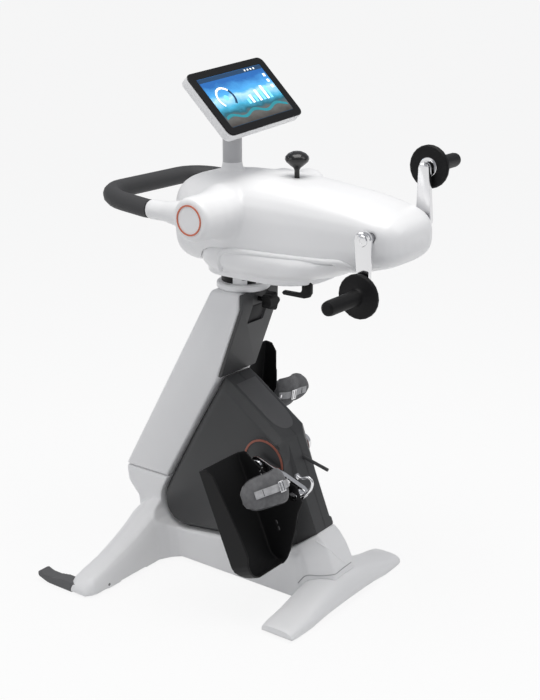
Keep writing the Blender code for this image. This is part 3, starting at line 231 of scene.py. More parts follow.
white_cover = moulded_plastic("white_cover_abs", (0.84, 0.84, 0.845), 0.38, tint=0.008)
base_moulding = soft_copy("base_moulding", "base_cover", 0.003, 5)
fit(base_moulding, "base", white_cover, ["base_cover"])
dress(["column_cover", "swivel_collar"], white_cover)


# Ends of the front foot: the rounded white nose that closes each end against its floor shoe.
# It is part of the same moulding and is drawn tight over the cover's end.
both_sides = (("left", -1.0), ("right", 1.0))
nose_y, nose_front, nose_back = 0.318, -0.318, -0.250
base_mesh = nodes["base_cover"].data
for side, way in both_sides:
    mesh = bpy.data.meshes.new(f"front_foot_end_{side}")
    end_piece = bpy.data.objects.new(f"front_foot_end_{side}", mesh)
    bpy.context.collection.objects.link(end_piece)
    form = bmesh.new()
    for vertex in base_mesh.vertices:
        if vertex.co.y * way > nose_y and nose_front < vertex.co.x < nose_back:
            form.verts.new(vertex.co)
    wrapped = bmesh.ops.convex_hull(form, input=form.verts)
    inside = [part for part in wrapped["geom_interior"] if isinstance(part, bmesh.types.BMVert)]
    bmesh.ops.delete(form, geom=inside, context="VERTS")
    bmesh.ops.recalc_face_normals(form, faces=form.faces)
    form.to_mesh(mesh)
    form.free()
    work(end_piece, "REMESH", mode="VOXEL", voxel_size=0.002)
    work(end_piece, "SMOOTH", factor=0.5, iterations=2)
    fit(end_piece, "base", white_cover)


# Joint line of the boot over the rear foot, and the soft fold from there up to the housing.
# Both belong to the base moulding, and are drawn as thin cords laid along its own skin; the joint line's
# grey is painted shade of its groove.
def cord_of(name, points, radius, closed=True, sides=3):
    """A thin round cord along points, made a mesh."""
    curve = bpy.data.curves.new(name, "CURVE")
    curve.dimensions = "3D"
    curve.bevel_depth = radius
    curve.bevel_resolution = sides
    curve.use_fill_caps = not closed
    spline = curve.splines.new("POLY")
    spline.points.add(len(points) - 1)
    for knot, point in zip(spline.points, points):
        knot.co = (*point, 1.0)
    spline.use_cyclic_u = closed
    piece = bpy.data.objects.new(name, curve)
    bpy.context.collection.objects.link(piece)
    only(piece)
    bpy.ops.object.convert(target="MESH")
    return bpy.context.object


def eased(points, passes=3):
    """Rounds a path by halving its segments and easing the corners."""
    path = [Vector(point) for point in points]
    for _ in range(passes):
        finer = [path[0]]
        for a, b in zip(path, path[1:]):
            finer += [a * 0.75 + b * 0.25, a * 0.25 + b * 0.75]
        path = finer + [path[-1]]
    return path


def on_boot(points):
    """Moves points to the boot's own skin."""
    return [base_moulding.closest_point_on_mesh(point)[1] for point in points]


# Grey of the joint line's cord: painted shade of the groove between boot and rear foot.
joint_groove_shade = moulded_plastic("joint_groove_shade", (0.40, 0.40, 0.405), 0.5, tint=0.01, shine=0.3)
boot_seam = [(0.1625, -0.0723, 0.0505), (0.1837, -0.0698, 0.0800), (0.2130, -0.0577, 0.0790),
             (0.2380, -0.0440, 0.0838), (0.2458, -0.0250, 0.0868), (0.2460, -0.0052, 0.0883),
             (0.2460, 0.0298, 0.0890)]
fit(cord_of("boot_joint_line", on_boot(eased(boot_seam)), 0.0013, closed=False), "base", joint_groove_shade)
boot_fold = [(0.1934, -0.0434, 0.1592), (0.2130, -0.0382, 0.1499), (0.2285, -0.0275, 0.1343),
             (0.2393, -0.0088, 0.1115), (0.2455, 0.0083, 0.0929)]
ridge_way = [point - Vector((0.0012, 0.0, 0.0)) for point in on_boot(eased(boot_fold))]
fit(cord_of("boot_fold_ridge", ridge_way, 0.0026, closed=False, sides=5), "base", white_cover)


# Rear cross foot: an arched bar of the same white ABS, highest under the boot.
# Its ends are cut straight across, and a black pad under each end takes its weight.
def skin(name, rings):
    """Stretches a skin over sections with the same number of points, and closes both ends."""
    mesh = bpy.data.meshes.new(name)
    piece = bpy.data.objects.new(name, mesh)
    bpy.context.collection.objects.link(piece)
    form = bmesh.new()
    rows = [[form.verts.new(point) for point in ring] for ring in rings]
    count = len(rows[0])
    for low, high in zip(rows, rows[1:]):
        for i in range(count):
            form.faces.new((low[i], low[(i + 1) % count], high[(i + 1) % count], high[i]))
    form.faces.new(rows[0])
    form.faces.new(rows[-1])
    bmesh.ops.recalc_face_normals(form, faces=form.faces)
    form.to_mesh(mesh)
    form.free()
    return piece


# |y|, half width, underside, top
rear_stations = [
    (0.000, 0.0470, 0.0135, 0.0750), (0.030, 0.0470, 0.0134, 0.0744), (0.060, 0.0470, 0.0130, 0.0712),
    (0.085, 0.0470, 0.0122, 0.0655), (0.110, 0.0470, 0.0110, 0.0584), (0.135, 0.0470, 0.0085, 0.0505),
    (0.160, 0.0470, 0.0060, 0.0430), (0.185, 0.0465, 0.0060, 0.0372), (0.210, 0.0460, 0.0060, 0.0322),
    (0.228, 0.0445, 0.0060, 0.0282), (0.236, 0.0430, 0.0066, 0.0262), (0.238, 0.0412, 0.0085, 0.0240),
]
near_stations = [(-y, *rest) for y, *rest in reversed(rear_stations[1:])]
rear_half = [(1.0, 0.0), (1.0, 0.20), (0.985, 0.42), (0.93, 0.62), (0.83, 0.78), (0.68, 0.89),
             (0.48, 0.96), (0.24, 0.99), (0.0, 1.0)]
rear_section = rear_half + [(-across, up) for across, up in reversed(rear_half[:-1])]
rear_foot_x = 0.219
rear_rings = []
for y, half, low, top in near_stations + rear_stations:
    rear_rings.append([(rear_foot_x + half * across, y, low + (top - low) * up)
                       for across, up in rear_section])
rear_bar = skin("rear_cross_bar", rear_rings)
work(rear_bar, "BEVEL", width=0.0012, segments=2, limit_method="ANGLE", angle_limit=math.radians(50))
fit(rear_bar, "base", white_cover, ["rear_foot"], crease=40)


# Near half of the leg drive housing with its peg, the column's user panel and the screen's yoke.
# Dark grey moulded ABS; the skin is a fine spark-eroded grain, duller than the white covers.
charcoal_cover = moulded_plastic("charcoal_cover_abs", (0.055, 0.0555, 0.057), 0.48, grain=1500.0,
                                 relief=0.00009, shine=0.35)
dress(["housing_left", "column_panel", "user_face_peg", "screen_yoke"], charcoal_cover)


# Black sheet on the floor of the recess in the column panel: painted shade of the recess.
# It is a thin plate, with its edge broken by half a millimetre.
shade_sheet_top, shade_sheet_foot, shade_sheet_half = (-0.0079, 0.7000), (-0.0251, 0.6556), 0.0290
shade_sheet_out = Vector((0.935, 0.0, -0.354))
shade_sheet_corners = ((shade_sheet_top, -shade_sheet_half), (shade_sheet_foot, -shade_sheet_half),
                 (shade_sheet_foot, shade_sheet_half), (shade_sheet_top, shade_sheet_half))
shade_sheet_ring = [Vector((x, y, z)) for (x, z), y in shade_sheet_corners]
recess_shade_sheet = skin("recess_shade_sheet", [[point - shade_sheet_out * 0.0004 for point in shade_sheet_ring],
                                     [point + shade_sheet_out * 0.0012 for point in shade_sheet_ring]])
work(recess_shade_sheet, "BEVEL", width=0.0005, segments=2, limit_method="ANGLE", angle_limit=math.radians(50))
# Near-black colour: painted shade of the recess.
fit(recess_shade_sheet, "base", moulded_plastic("recess_painted_shade_black", (0.022, 0.022, 0.023), 0.55, shine=0.2),
    crease=30)


# Far half of the leg drive housing: the same dark grey moulding, screwed to the near half.
# Outside the hub its flank is flat, and its user's edge is chamfered back towards the axle.
leg_axle_x, leg_axle_z = 0.058, 0.336
flank_y, hub_radius = 0.0672, 0.034
chamfer_foot_z, chamfer_y = 0.19, 0.030
far_shell = soft_copy("housing_far_shell", "housing_right", 0.0025, 2)
for vertex in far_shell.data.vertices:
    x, y, z = vertex.co
    if y > flank_y and math.hypot(x - leg_axle_x, z - leg_axle_z) > hub_radius:
        vertex.co.y = flank_y
    edge = 0.094 + (0.406 - z) * 0.343 - 0.75 * (vertex.co.y - 0.036)
    if z > chamfer_foot_z and y > chamfer_y and vertex.co.x > edge:
        vertex.co.x = max(edge, leg_axle_x)
fit(far_shell, "base", charcoal_cover, ["housing_right"], crease=40)


# Top strip of the housing: a thin plate on the sloping top facet, from the column panel down to a rounded
# tongue.
# Its lighter grey is painted light on this upward facet, lighter than the flanks.
# Lighter grey: painted light on the housing's upward top facet.
lit_facet_grey = moulded_plastic("facet_grey_painted_light", (0.100, 0.100, 0.102), 0.5, grain=1500.0,
                             relief=0.00009, shine=0.35)
lit_strip_back, lit_strip_turn, lit_strip_tongue, lit_strip_half = -0.0480, 0.0400, 0.0422, 0.0372
lit_strip_plan = [(lit_strip_back, -lit_strip_half), (lit_strip_turn, -lit_strip_half)]
for t in [math.radians(degrees) for degrees in range(10, 90, 10)]:
    lit_strip_plan.append((lit_strip_turn + lit_strip_tongue * math.sin(t), -lit_strip_half * math.cos(t) ** 0.75))
lit_strip_plan.append((lit_strip_turn + lit_strip_tongue, 0.0))
lit_strip_plan += [(x, -y) for x, y in reversed(lit_strip_plan[:-1])]
slope_out = Vector((0.576, 0.0, 0.817))
slope_top, slope_fall = 0.4666, 0.7050
lit_strip_rings = [[Vector((x, y, slope_top - slope_fall * x)) + slope_out * lift for x, y in lit_strip_plan]
               for lift in (-0.0010, 0.0009)]
lit_strip = skin("housing_lit_strip", lit_strip_rings)
work(lit_strip, "BEVEL", width=0.0006, segments=2, limit_method="ANGLE", angle_limit=math.radians(60))
fit(lit_strip, "base", lit_facet_grey, crease=30)


# Soft-touch grey pieces: loop handle and floor shoes.
# A rubbery lacquer over the core, matt, with a fine pebble in the highlights.
soft_touch = moulded_plastic("soft_touch_grey", (0.052, 0.052, 0.054), 0.58, grain=1900.0, relief=0.00012,
                             shine=0.3)
dress(["loop_grip"], soft_touch)
shoe_grey = moulded_plastic("shoe_grey", (0.125, 0.125, 0.128), 0.6, shine=0.3)
tuck_x, tuck_in, tuck_down = -0.306, 0.0035, 0.0030
tip_x, tip_length, tip_rise = -0.380, 0.030, 0.0075
for side, way in both_sides:
    shoe = soft_copy(f"floor_shoe_{side}", f"front_shoe_{side}", 0.002, 2)
    for vertex in shoe.data.vertices:
        x, y, z = vertex.co
        tucked = min(max((x - tuck_x) / 0.004, 0.0), 1.0)
        if y * way > 0.33:
            vertex.co.y -= way * tuck_in * tucked
        if z > 0.018:
            vertex.co.z -= tuck_down * tucked
        if x < tip_x:
            vertex.co.z += tip_rise * min((tip_x - x) / tip_length, 1.0) ** 1.5
    fit(shoe, "base", shoe_grey, [f"front_shoe_{side}"])


# Black pieces: foot shells, hand grips, lever, screen bezel, wheels, pads and belt.
# Glass-filled nylon and rubber, matt, with a grain that catches only the brightest light.
black_shell = moulded_plastic("black_shell_nylon", (0.0075, 0.0075, 0.0080), 0.46, grain=1300.0,
                              relief=0.00008, shine=0.16)
dress(["hand_grip_left", "hand_grip_right", "swivel_lever", "screen_bezel", "transport_wheel_left",
       "transport_wheel_right", "front_pad_left", "front_pad_right", "rear_pad_left", "rear_pad_right",
       "drive_belt"], black_shell)
shell_inside = moulded_plastic("foot_shell_nylon", (0.010, 0.010, 0.0105), 0.52, grain=900.0, relief=0.0001,
                               shine=0.18)
for side in ("left", "right"):
    fit(soft_copy(f"foot_tray_{side}", f"foot_shell_{side}", 0.002, 3), f"foot_{side}", shell_inside,
        [f"foot_shell_{side}"])


# Chrome cranks and steel inner pieces.
# Bright plating over forged steel, with faint smears in its gloss.
def bright_metal(name, colour, roughness):
    """Plated or turned metal with faint smears in its gloss."""
    material = bpy.data.materials.new(name)
    material.use_nodes = True
    tree = material.node_tree
    shader = tree.nodes["Principled BSDF"]
    shader.inputs["Base Color"].default_value = (*colour, 1.0)
    shader.inputs["Metallic"].default_value = 1.0
    place = tree.nodes.new("ShaderNodeTexCoord")
    smear = tree.nodes.new("ShaderNodeTexNoise")
    smear.inputs["Scale"].default_value = 60.0
    smear.inputs["Detail"].default_value = 5.0
    tree.links.new(place.outputs["Object"], smear.inputs["Vector"])
    gloss = tree.nodes.new("ShaderNodeMapRange")
    gloss.inputs["To Min"].default_value = roughness
    gloss.inputs["To Max"].default_value = roughness + 0.14
    tree.links.new(smear.outputs["Fac"], gloss.inputs["Value"])
    tree.links.new(gloss.outputs["Result"], shader.inputs["Roughness"])
    return material


chrome_plate = bright_metal("chrome_plate", (0.78, 0.78, 0.79), 0.05)
plain_steel = bright_metal("plain_steel", (0.45, 0.45, 0.47), 0.28)
dress(["leg_crank_left", "leg_crank_right", "arm_crank_left", "arm_crank_right"], chrome_plate)
dress(["leg_motor", "motor_pulley", "leg_axle", "mast_tube", "arm_motor", "arm_axle"], plain_steel)


# Hub caps on the crank axles, domed chrome screws that hold the cranks on.
# Each starts as a disc at its first radius, extruded and resized along its profile.
def faced_out(piece):
    """Turns every face of a piece outward."""
    only(piece)
    bpy.ops.object.mode_set(mode="EDIT")
    bpy.ops.mesh.select_all(action="SELECT")
    bpy.ops.mesh.normals_make_consistent(inside=False)
    bpy.ops.object.mode_set(mode="OBJECT")


def turned(name, profile, centre, direction, steps=40):
    """A turned piece: a disc extruded and resized along (radius, height) points, then laid on its axis."""
    bpy.ops.object.select_all(action="DESELECT")
    bpy.ops.mesh.primitive_circle_add(vertices=steps, radius=profile[0][0], fill_type="NGON",
                                      location=(0.0, 0.0, 0.0))
    piece = bpy.context.object
    piece.name = name
    bpy.ops.object.mode_set(mode="EDIT")
    bpy.ops.mesh.select_all(action="SELECT")
    bpy.ops.transform.translate(value=(0.0, 0.0, profile[0][1]))
    for (r0, h0), (r1, h1) in zip(profile, profile[1:]):
        bpy.ops.mesh.extrude_region_move(TRANSFORM_OT_translate={"value": (0.0, 0.0, h1 - h0)})
        bpy.ops.transform.resize(value=(r1 / r0, r1 / r0, 1.0), center_override=(0.0, 0.0, h1))
    bpy.ops.object.mode_set(mode="OBJECT")
    faced_out(piece)
    turn = Vector((0.0, 0.0, 1.0)).rotation_difference(Vector(direction)).to_matrix().to_4x4()
    piece.data.transform(Matrix.Translation(centre) @ turn)
    return piece


arm_axle_x, arm_axle_z = 0.358, 0.927
leg_cap = [(0.0150, 0.0), (0.0150, 0.0022), (0.0140, 0.0034), (0.0095, 0.0044), (0.0060, 0.0047),
           (0.0055, 0.0036), (0.0004, 0.0036)]
arm_cap = [(0.0125, 0.0), (0.0125, 0.0018), (0.0115, 0.0030), (0.0070, 0.0038), (0.0045, 0.0040),
           (0.0040, 0.0030), (0.0004, 0.0030)]
for side, way in both_sides:
    cap = turned(f"leg_hub_cap_{side}", leg_cap, (leg_axle_x, way * 0.0962, leg_axle_z), (0.0, way, 0.0))
    fit(cap, "leg_crank", chrome_plate, crease=30)
    cap = turned(f"arm_hub_cap_{side}", arm_cap, (arm_axle_x, way * 0.1307, arm_axle_z), (0.0, way, 0.0))
    fit(cap, "arm_crank", chrome_plate, crease=30)


# Upper head cover, screen back and turntable: white ABS, the first two more glossy.
# The upper cover and its two bosses are one moulding, and every edge rolls over softly.
# The screen post is a steel tube, mid grey; part of that grey is painted shade from the screen above it.
head_white = moulded_plastic("head_white_abs", (0.87, 0.87, 0.875), 0.34, tint=0.006, coat=0.08)
head_moulding = soft_copy("head_moulding", "head_upper_cover", 0.003, 26)
chin_x, chin_z, chin_lift = 0.22, 0.92, 0.016
for vertex in head_moulding.data.vertices:
    x, z = vertex.co.x, vertex.co.z
    if x > chin_x and z < chin_z:
        vertex.co.z += chin_lift * min((x - chin_x) / 0.19, 1.0) ** 2 * min((chin_z - z) / 0.08, 1.0)
fit(head_moulding, "head", head_white, ["head_upper_cover"])
dress(["screen_back"], head_white, 40.0)
# Mid grey of the post: partly its own grey, partly painted shade from the screen.
post_grey_and_shade = moulded_plastic("post_grey_and_painted_shade", (0.52, 0.52, 0.53), 0.36, tint=0.01)
dress(["screen_post"], post_grey_and_shade, 40.0)
dress(["turntable"], white_cover)


# Dark blocks in two notches of the turntable's rim: painted shade of the notches.
# Each is an arc of the rim and stands a little proud of it.
turntable_x = -0.0525
notch_shade_outer, notch_shade_inner, notch_shade_levels = 0.0526, 0.0450, (0.7540, 0.7740)
for name, centre_angle, half_angle in (("left", -113.0, 31.0), ("right", -31.0, 12.0)):
    arc = [math.radians(centre_angle + half_angle * (k - 8) / 8) for k in range(17)]
    plan = [(notch_shade_outer * math.cos(a), notch_shade_outer * math.sin(a)) for a in arc]
    plan += [(notch_shade_inner * math.cos(a), notch_shade_inner * math.sin(a)) for a in reversed(arc)]
    notch_shade_block = skin(f"rim_notch_shade_{name}", [[(turntable_x + x, y, z) for x, y in plan] for z in notch_shade_levels])
    # Black colour here: painted shade of the notch.
    fit(notch_shade_block, "head", black_shell, crease=35)


# Flare at the foot of the screen post, moulded with the upper cover.
# It rounds the corner where the post comes out of the head.
post_x = -0.083
flare_profile = [(0.0325, 1.0080), (0.0306, 1.0102), (0.0272, 1.0128), (0.0250, 1.0170),
                 (0.0236, 1.0230), (0.0228, 1.0290)]
flare = turned("post_flare", flare_profile, (post_x, 0.0, 0.0), (0.0, 0.0, 1.0), 64)
fit(flare, "head", head_white, crease=60)


# Lower head cover: a bowl under the head over a flat plate, with a lip that rolls over softly.
# It is drawn out towards the user and fades into the head's flank.
tray_curl_x = 0.212
# Level, front end, user's end, half width
tray_levels = [
    (0.7850, -0.070, 0.120, 0.060), (0.7850, -0.106, 0.180, 0.101), (0.7880, -0.109, 0.186, 0.104),
    (0.7990, -0.110, 0.190, 0.106), (0.8040, -0.112, 0.205, 0.113), (0.8140, -0.115, 0.245, 0.124),
    (0.8280, -0.118, 0.285, 0.1295), (0.8420, -0.118, 0.315, 0.1300), (0.8520, -0.1165, 0.322, 0.1280),
    (0.8585, -0.111, 0.320, 0.1225), (0.8600, -0.103, 0.312, 0.1150), (0.8600, -0.050, 0.200, 0.060),
]
tray_rings = []
for z, front_x, user_x, half in tray_levels:
    corner, reach, spread = 0.654 * half, 0.327 * (user_x - front_x), 0.885 * half
    plan = []
    for t in [math.radians(degrees) for degrees in range(180, 89, -15)]:
        plan.append((front_x + corner + corner * math.cos(t), half - corner + corner * math.sin(t)))
    for t in [math.radians(degrees) for degrees in range(90, -1, -9)]:
        plan.append((user_x - reach + reach * math.cos(t), half - spread + spread * math.sin(t)))
    plan += [(x, -y) for x, y in reversed(plan)]
    tray_rings.append([(x, y, z + max(x - tray_curl_x, 0.0) ** 2) for x, y in plan])
tray_cover = skin("head_lower_moulding", tray_rings)
fit(tray_cover, "head", head_white, ["head_lower_cover"], crease=35)


# Rolled lip of the lower head cover, a soft bead on each flank that fades towards the user.
# It is moulded with the cover and turns down at its front end.
lip_way = [(-0.0270, 0.1190, 0.8010), (-0.0270, 0.1250, 0.8200), (-0.0230, 0.1272, 0.8420),
           (-0.0060, 0.1262, 0.8545), (0.0349, 0.1248, 0.8575), (0.1415, 0.1200, 0.8600),
           (0.2594, 0.1112, 0.8640), (0.2920, 0.1075, 0.8680), (0.3200, 0.0950, 0.8560),
           (0.3330, 0.0800, 0.8440)]
for side, way in both_sides:
    path = eased([(x, way * y, z) for x, y, z in lip_way])
    lip = cord_of(f"head_lip_{side}", path, 0.0062, closed=False, sides=5)
    fit(lip, "head", head_white)


# Accent rings: thin plastic trim, pressed on the bosses and round the leg axle.
# Dusty orange, duller at the axle; the far one is smaller, to stay on its narrower shell.
ring_orange = moulded_plastic("ring_orange", (0.62, 0.16, 0.085), 0.46)
ring_dull = moulded_plastic("ring_dull", (0.34, 0.11, 0.075), 0.52)
dress(["boss_ring_left", "boss_ring_right"], ring_orange)
dress(["crank_ring_left"], ring_dull)
far_ring = turned("far_hub_ring", [(0.0370, 0.0), (0.0370, 0.0007), (0.0350, 0.0007), (0.0350, 0.0)],
                  (leg_axle_x, 0.0669, leg_axle_z), (0.0, 1.0, 0.0), 64)
fit(far_ring, "base", ring_dull, ["crank_ring_right"], crease=30)


# Push knob and height clamp knob, both black and moulded round a metal stem.
# The push knob is polished; the clamp knob is matt, like the foot shells.
knob_black = moulded_plastic("knob_black", (0.010, 0.010, 0.010), 0.22, coat=0.3, shine=0.4)
dress(["push_knob"], knob_black, 40.0)
dress(["height_knob"], black_shell, 40.0)


# Instep cuffs: padded strips that arch over the foot, grey knit over foam.
# Each is a skin over its sections, stuffed by cloth simulation, then piped along its edge.
def knit(name, colour):
    """Close knit fabric: two crossed fine ribs in the bump, fuzz in the sheen, mottled tone."""
    material = bpy.data.materials.new(name)
    material.use_nodes = True
    tree = material.node_tree
    shader = tree.nodes["Principled BSDF"]
    shader.inputs["Roughness"].default_value = 0.86
    shader.inputs["Specular IOR Level"].default_value = 0.2
    shader.inputs["Sheen Weight"].default_value = 0.35
    shader.inputs["Sheen Roughness"].default_value = 0.5
    place = tree.nodes.new("ShaderNodeTexCoord")
    ribs = []
    for direction in ("X", "Z"):
        rib = tree.nodes.new("ShaderNodeTexWave")
        rib.wave_type = "BANDS"
        rib.bands_direction = direction
        rib.inputs["Scale"].default_value = 260.0
        rib.inputs["Distortion"].default_value = 1.2
        rib.inputs["Detail"].default_value = 1.0
        tree.links.new(place.outputs["Object"], rib.inputs["Vector"])
        ribs.append(rib)
    cross = tree.nodes.new("ShaderNodeMath")
    cross.operation = "MULTIPLY"
    tree.links.new(ribs[0].outputs["Fac"], cross.inputs[0])
    tree.links.new(ribs[1].outputs["Fac"], cross.inputs[1])
    bump = tree.nodes.new("ShaderNodeBump")
    bump.inputs["Distance"].default_value = 0.0004
    bump.inputs["Strength"].default_value = 0.7
    tree.links.new(cross.outputs[0], bump.inputs["Height"])
    tree.links.new(bump.outputs["Normal"], shader.inputs["Normal"])
    mottle = tree.nodes.new("ShaderNodeTexNoise")
    mottle.inputs["Scale"].default_value = 90.0
    mottle.inputs["Detail"].default_value = 6.0
    tree.links.new(place.outputs["Object"], mottle.inputs["Vector"])
    tone = tree.nodes.new("ShaderNodeValToRGB")
    tone.color_ramp.elements[0].position = 0.35
    tone.color_ramp.elements[1].position = 0.65
    tone.color_ramp.elements[0].color = (*[c * 0.86 for c in colour], 1.0)
    tone.color_ramp.elements[1].color = (*[c * 1.12 for c in colour], 1.0)
    tree.links.new(mottle.outputs["Fac"], tone.inputs["Fac"])
    tree.links.new(tone.outputs["Color"], shader.inputs["Base Color"])
    return material


cuff_knit = knit("cuff_knit_grey", (0.150, 0.150, 0.154))
piping_cloth = knit("cuff_piping_grey", (0.085, 0.085, 0.088))


leg_throw, pin_along, pin_above = 0.128, 0.1275, 0.129
leg_crank_angles = {"left": -17.0, "right": 163.0}
shell_pitches = {"left": -67.0, "right": -96.0}


def sole_frame(side):
    """Frame of a foot shell: X along its sole, Y away from the machine, Z off the sole."""
    way = -1.0 if side == "left" else 1.0
    crank_angle, pitch = math.radians(leg_crank_angles[side]), math.radians(shell_pitches[side])
    pin = Vector((leg_axle_x + leg_throw * math.cos(crank_angle), 0.0,
                  leg_axle_z + leg_throw * math.sin(crank_angle)))
    along = Vector((math.cos(pitch), 0.0, math.sin(pitch)))
    above = Vector((-math.sin(pitch), 0.0, math.cos(pitch)))
    turn = Matrix((along, (0.0, way, 0.0), above)).transposed().to_4x4()
    turn.translation = pin - along * pin_along - above * pin_above
    return turn


def stuffed(piece, most):
    """Blows a remeshed pad up like stuffing under its cover, no point further than the cap."""
    start = [vertex.co.copy() for vertex in piece.data.vertices]
    only(piece)
    cloth = piece.modifiers.new("stuffing", "CLOTH")
    cloth.settings.quality = 5
    cloth.settings.use_pressure = True
    cloth.settings.uniform_pressure_force = 4.0
    cloth.settings.effector_weights.gravity = 0.0
    cloth.point_cache.frame_start = 1
    cloth.point_cache.frame_end = 20
    for step in range(1, 21):
        scene.frame_set(step)
    bpy.ops.object.modifier_apply(modifier="stuffing")
    scene.frame_set(1)
    for vertex, first in zip(piece.data.vertices, start):
        move = vertex.co - first
        if move.length > most:
            vertex.co = first + move.normalized() * most


cuff_tops = {}
cuff_steps, cuff_points = 24, 28
cuff_start, cuff_span, cuff_arch = 0.1195, 0.1085, 0.012
cuff_half_width, cuff_half_thick = 0.0405, 0.0088
# Along the sole, height at the tall wall, drop of the free end
cuff_lay = {"left": (0.090, 0.120, 0.050), "right": (0.070, 0.137, -0.030)}
for side in ("left", "right"):
    sole = sole_frame(side)
    middle, rise, drop = cuff_lay[side]
    cuff_rings = []
    for k in range(cuff_steps + 1):
        t = k / cuff_steps
        squareness = 8.0 if t < 0.5 else 2.6
        round_off = math.sqrt(max(1.0 - abs(2.0 * t - 1.0) ** squareness, 0.0))
        half = cuff_half_width * round_off * (1.0 - 0.10 * t) + 0.004
        thick = cuff_half_thick * math.sqrt(max(1.0 - abs(2.0 * t - 1.0) ** 4.0, 0.0)) + 0.0015
        y = cuff_start + cuff_span * t
        z = rise + cuff_arch * math.sin(math.pi * min(t * 1.6, 1.0)) - drop * t ** 1.7
        ring = []
        for i in range(cuff_points):
            a = 2.0 * math.pi * i / cuff_points
            c, up = math.cos(a), math.sin(a)
            ring.append(sole @ Vector((middle + half * math.copysign(abs(c) ** 0.85, c), y,
                                       z - 0.006 * c * c + thick * math.copysign(abs(up) ** 0.9, up))))
        cuff_rings.append(ring)
    pad = skin(f"instep_pad_{side}", cuff_rings)
    work(pad, "REMESH", mode="VOXEL", voxel_size=0.0045)
    stuffed(pad, 0.003)
    work(pad, "SMOOTH", factor=0.5, iterations=3)
    work(pad, "SUBSURF", levels=1, render_levels=1)
    fit(pad, f"foot_{side}", cuff_knit, [f"instep_cuff_{side}"])
    flat = [sole.inverted() @ vertex.co for vertex in pad.data.vertices]
    outer, inner = max(p.y for p in flat), min(p.y for p in flat)
    edge_low, edge_high = [], []
    for k in range(cuff_steps + 1):
        y = inner + 0.003 + (outer - inner - 0.006) * k / cuff_steps
        near = [p for p in flat if abs(p.y - y) < 0.0035]
        low, high = min(near, key=lambda p: p.x), max(near, key=lambda p: p.x)
        edge_low.append(Vector((low.x, y, low.z)))
        edge_high.append(Vector((high.x, y, high.z)))
    loop = edge_low + edge_high[::-1]
    for _ in range(6):
        loop = [(loop[i - 1] + loop[i] * 2 + loop[(i + 1) % len(loop)]) / 4 for i in range(len(loop))]
    piping = cord_of(f"cuff_piping_{side}", [sole @ p for p in loop], 0.0013)
    fit(piping, f"foot_{side}", piping_cloth)
    cuff_tops[side] = flat


# Straps over the cuffs: pale webbing, riveted to the tall wall and sewn back on itself.
# Each is a woven strip laid on the padding, with a bright slider buckle half way.
webbing = knit("strap_webbing", (0.47, 0.47, 0.48))
buckle_metal = bright_metal("buckle_plate", (0.82, 0.82, 0.83), 0.16)
strap_middle = {"left": 0.090, "right": 0.072}
strap_start, strap_end, strap_steps = 0.1215, 0.2100, 22
strap_rows = (-0.0090, -0.0045, 0.0, 0.0045, 0.0090)
rivet_at, buckle_at, stitch_at = 1, 9, 18
rivet_profile = [(0.0045, 0.0), (0.0045, 0.0008), (0.0038, 0.0016), (0.0020, 0.0021), (0.0003, 0.0022)]


def top_at(flat, middle, y):
    """Highest point of the padding across the strap's width."""
    return max(p.z for p in flat if abs(p.y - y) < 0.004 and abs(p.x - middle) < strap_rows[-1])


for side in ("left", "right"):
    sole = sole_frame(side)
    middle = strap_middle[side]
    stations = [strap_start + (strap_end - strap_start) * k / strap_steps for k in range(strap_steps + 1)]
    heights = [top_at(cuff_tops[side], middle, y) for y in stations]
    for _ in range(3):
        heights = [heights[0]] + [(heights[i - 1] + heights[i] * 2 + heights[i + 1]) / 4
                                  for i in range(1, len(heights) - 1)] + [heights[-1]]
    mesh = bpy.data.meshes.new(f"instep_webbing_{side}")
    points = [(middle + across, y, z + 0.0013) for y, z in zip(stations, heights) for across in strap_rows]
    row = len(strap_rows)
    faces = [(row * k + i, row * k + i + 1, row * (k + 1) + i + 1, row * (k + 1) + i)
             for k in range(strap_steps) for i in range(row - 1)]
    mesh.from_pydata(points, [], faces)
    strap = bpy.data.objects.new(f"instep_webbing_{side}", mesh)
    bpy.context.collection.objects.link(strap)
    work(strap, "SOLIDIFY", thickness=0.0018, offset=0.0)
    work(strap, "BEVEL", width=0.0005, segments=2, limit_method="ANGLE", angle_limit=math.radians(50))
    strap.data.transform(sole)
    faced_out(strap)
    fit(strap, f"foot_{side}", webbing, [f"instep_strap_{side}"], crease=40)

    lean = math.atan2(heights[buckle_at + 1] - heights[buckle_at - 1],
                      stations[buckle_at + 1] - stations[buckle_at - 1])
    bpy.ops.object.select_all(action="DESELECT")
    bpy.ops.mesh.primitive_grid_add(x_subdivisions=1, y_subdivisions=2, size=1.0,
                                    location=(0.0, 0.0, 0.0))
    buckle = bpy.context.object
    buckle.name = f"slider_buckle_{side}"
    bpy.ops.object.mode_set(mode="EDIT")
    bpy.ops.mesh.select_all(action="SELECT")
    bpy.ops.transform.resize(value=(0.0260, 0.0160, 1.0))
    bpy.ops.mesh.inset(thickness=0.0026, use_individual=True)
    bpy.ops.mesh.delete(type="FACE")
    bpy.ops.object.mode_set(mode="OBJECT")
    work(buckle, "SOLIDIFY", thickness=0.0026, offset=0.0)
    work(buckle, "BEVEL", width=0.0007, segments=2, limit_method="ANGLE", angle_limit=math.radians(40))
    seat = Matrix.Translation((middle, stations[buckle_at], heights[buckle_at] + 0.0038))
    buckle.data.transform(sole @ seat @ Matrix.Rotation(lean, 4, "X"))
    faced_out(buckle)
    fit(buckle, f"foot_{side}", buckle_metal, crease=30)

    thread_points = [sole @ Vector((middle + across, stations[stitch_at], heights[stitch_at] + 0.0027))
                     for across in (-0.0075, -0.0025, 0.0025, 0.0075)]
    thread = cord_of(f"strap_stitch_{side}", thread_points, 0.0006, closed=False)
    fit(thread, f"foot_{side}", black_shell)
    rivet = turned(f"strap_rivet_{side}", rivet_profile, (0.0, 0.0, 0.0), (0.0, 0.0, 1.0), 24)
    rivet.data.transform(sole @ Matrix.Translation((middle, stations[rivet_at], heights[rivet_at] + 0.0022)))
    fit(rivet, f"foot_{side}", buckle_metal, crease=30)


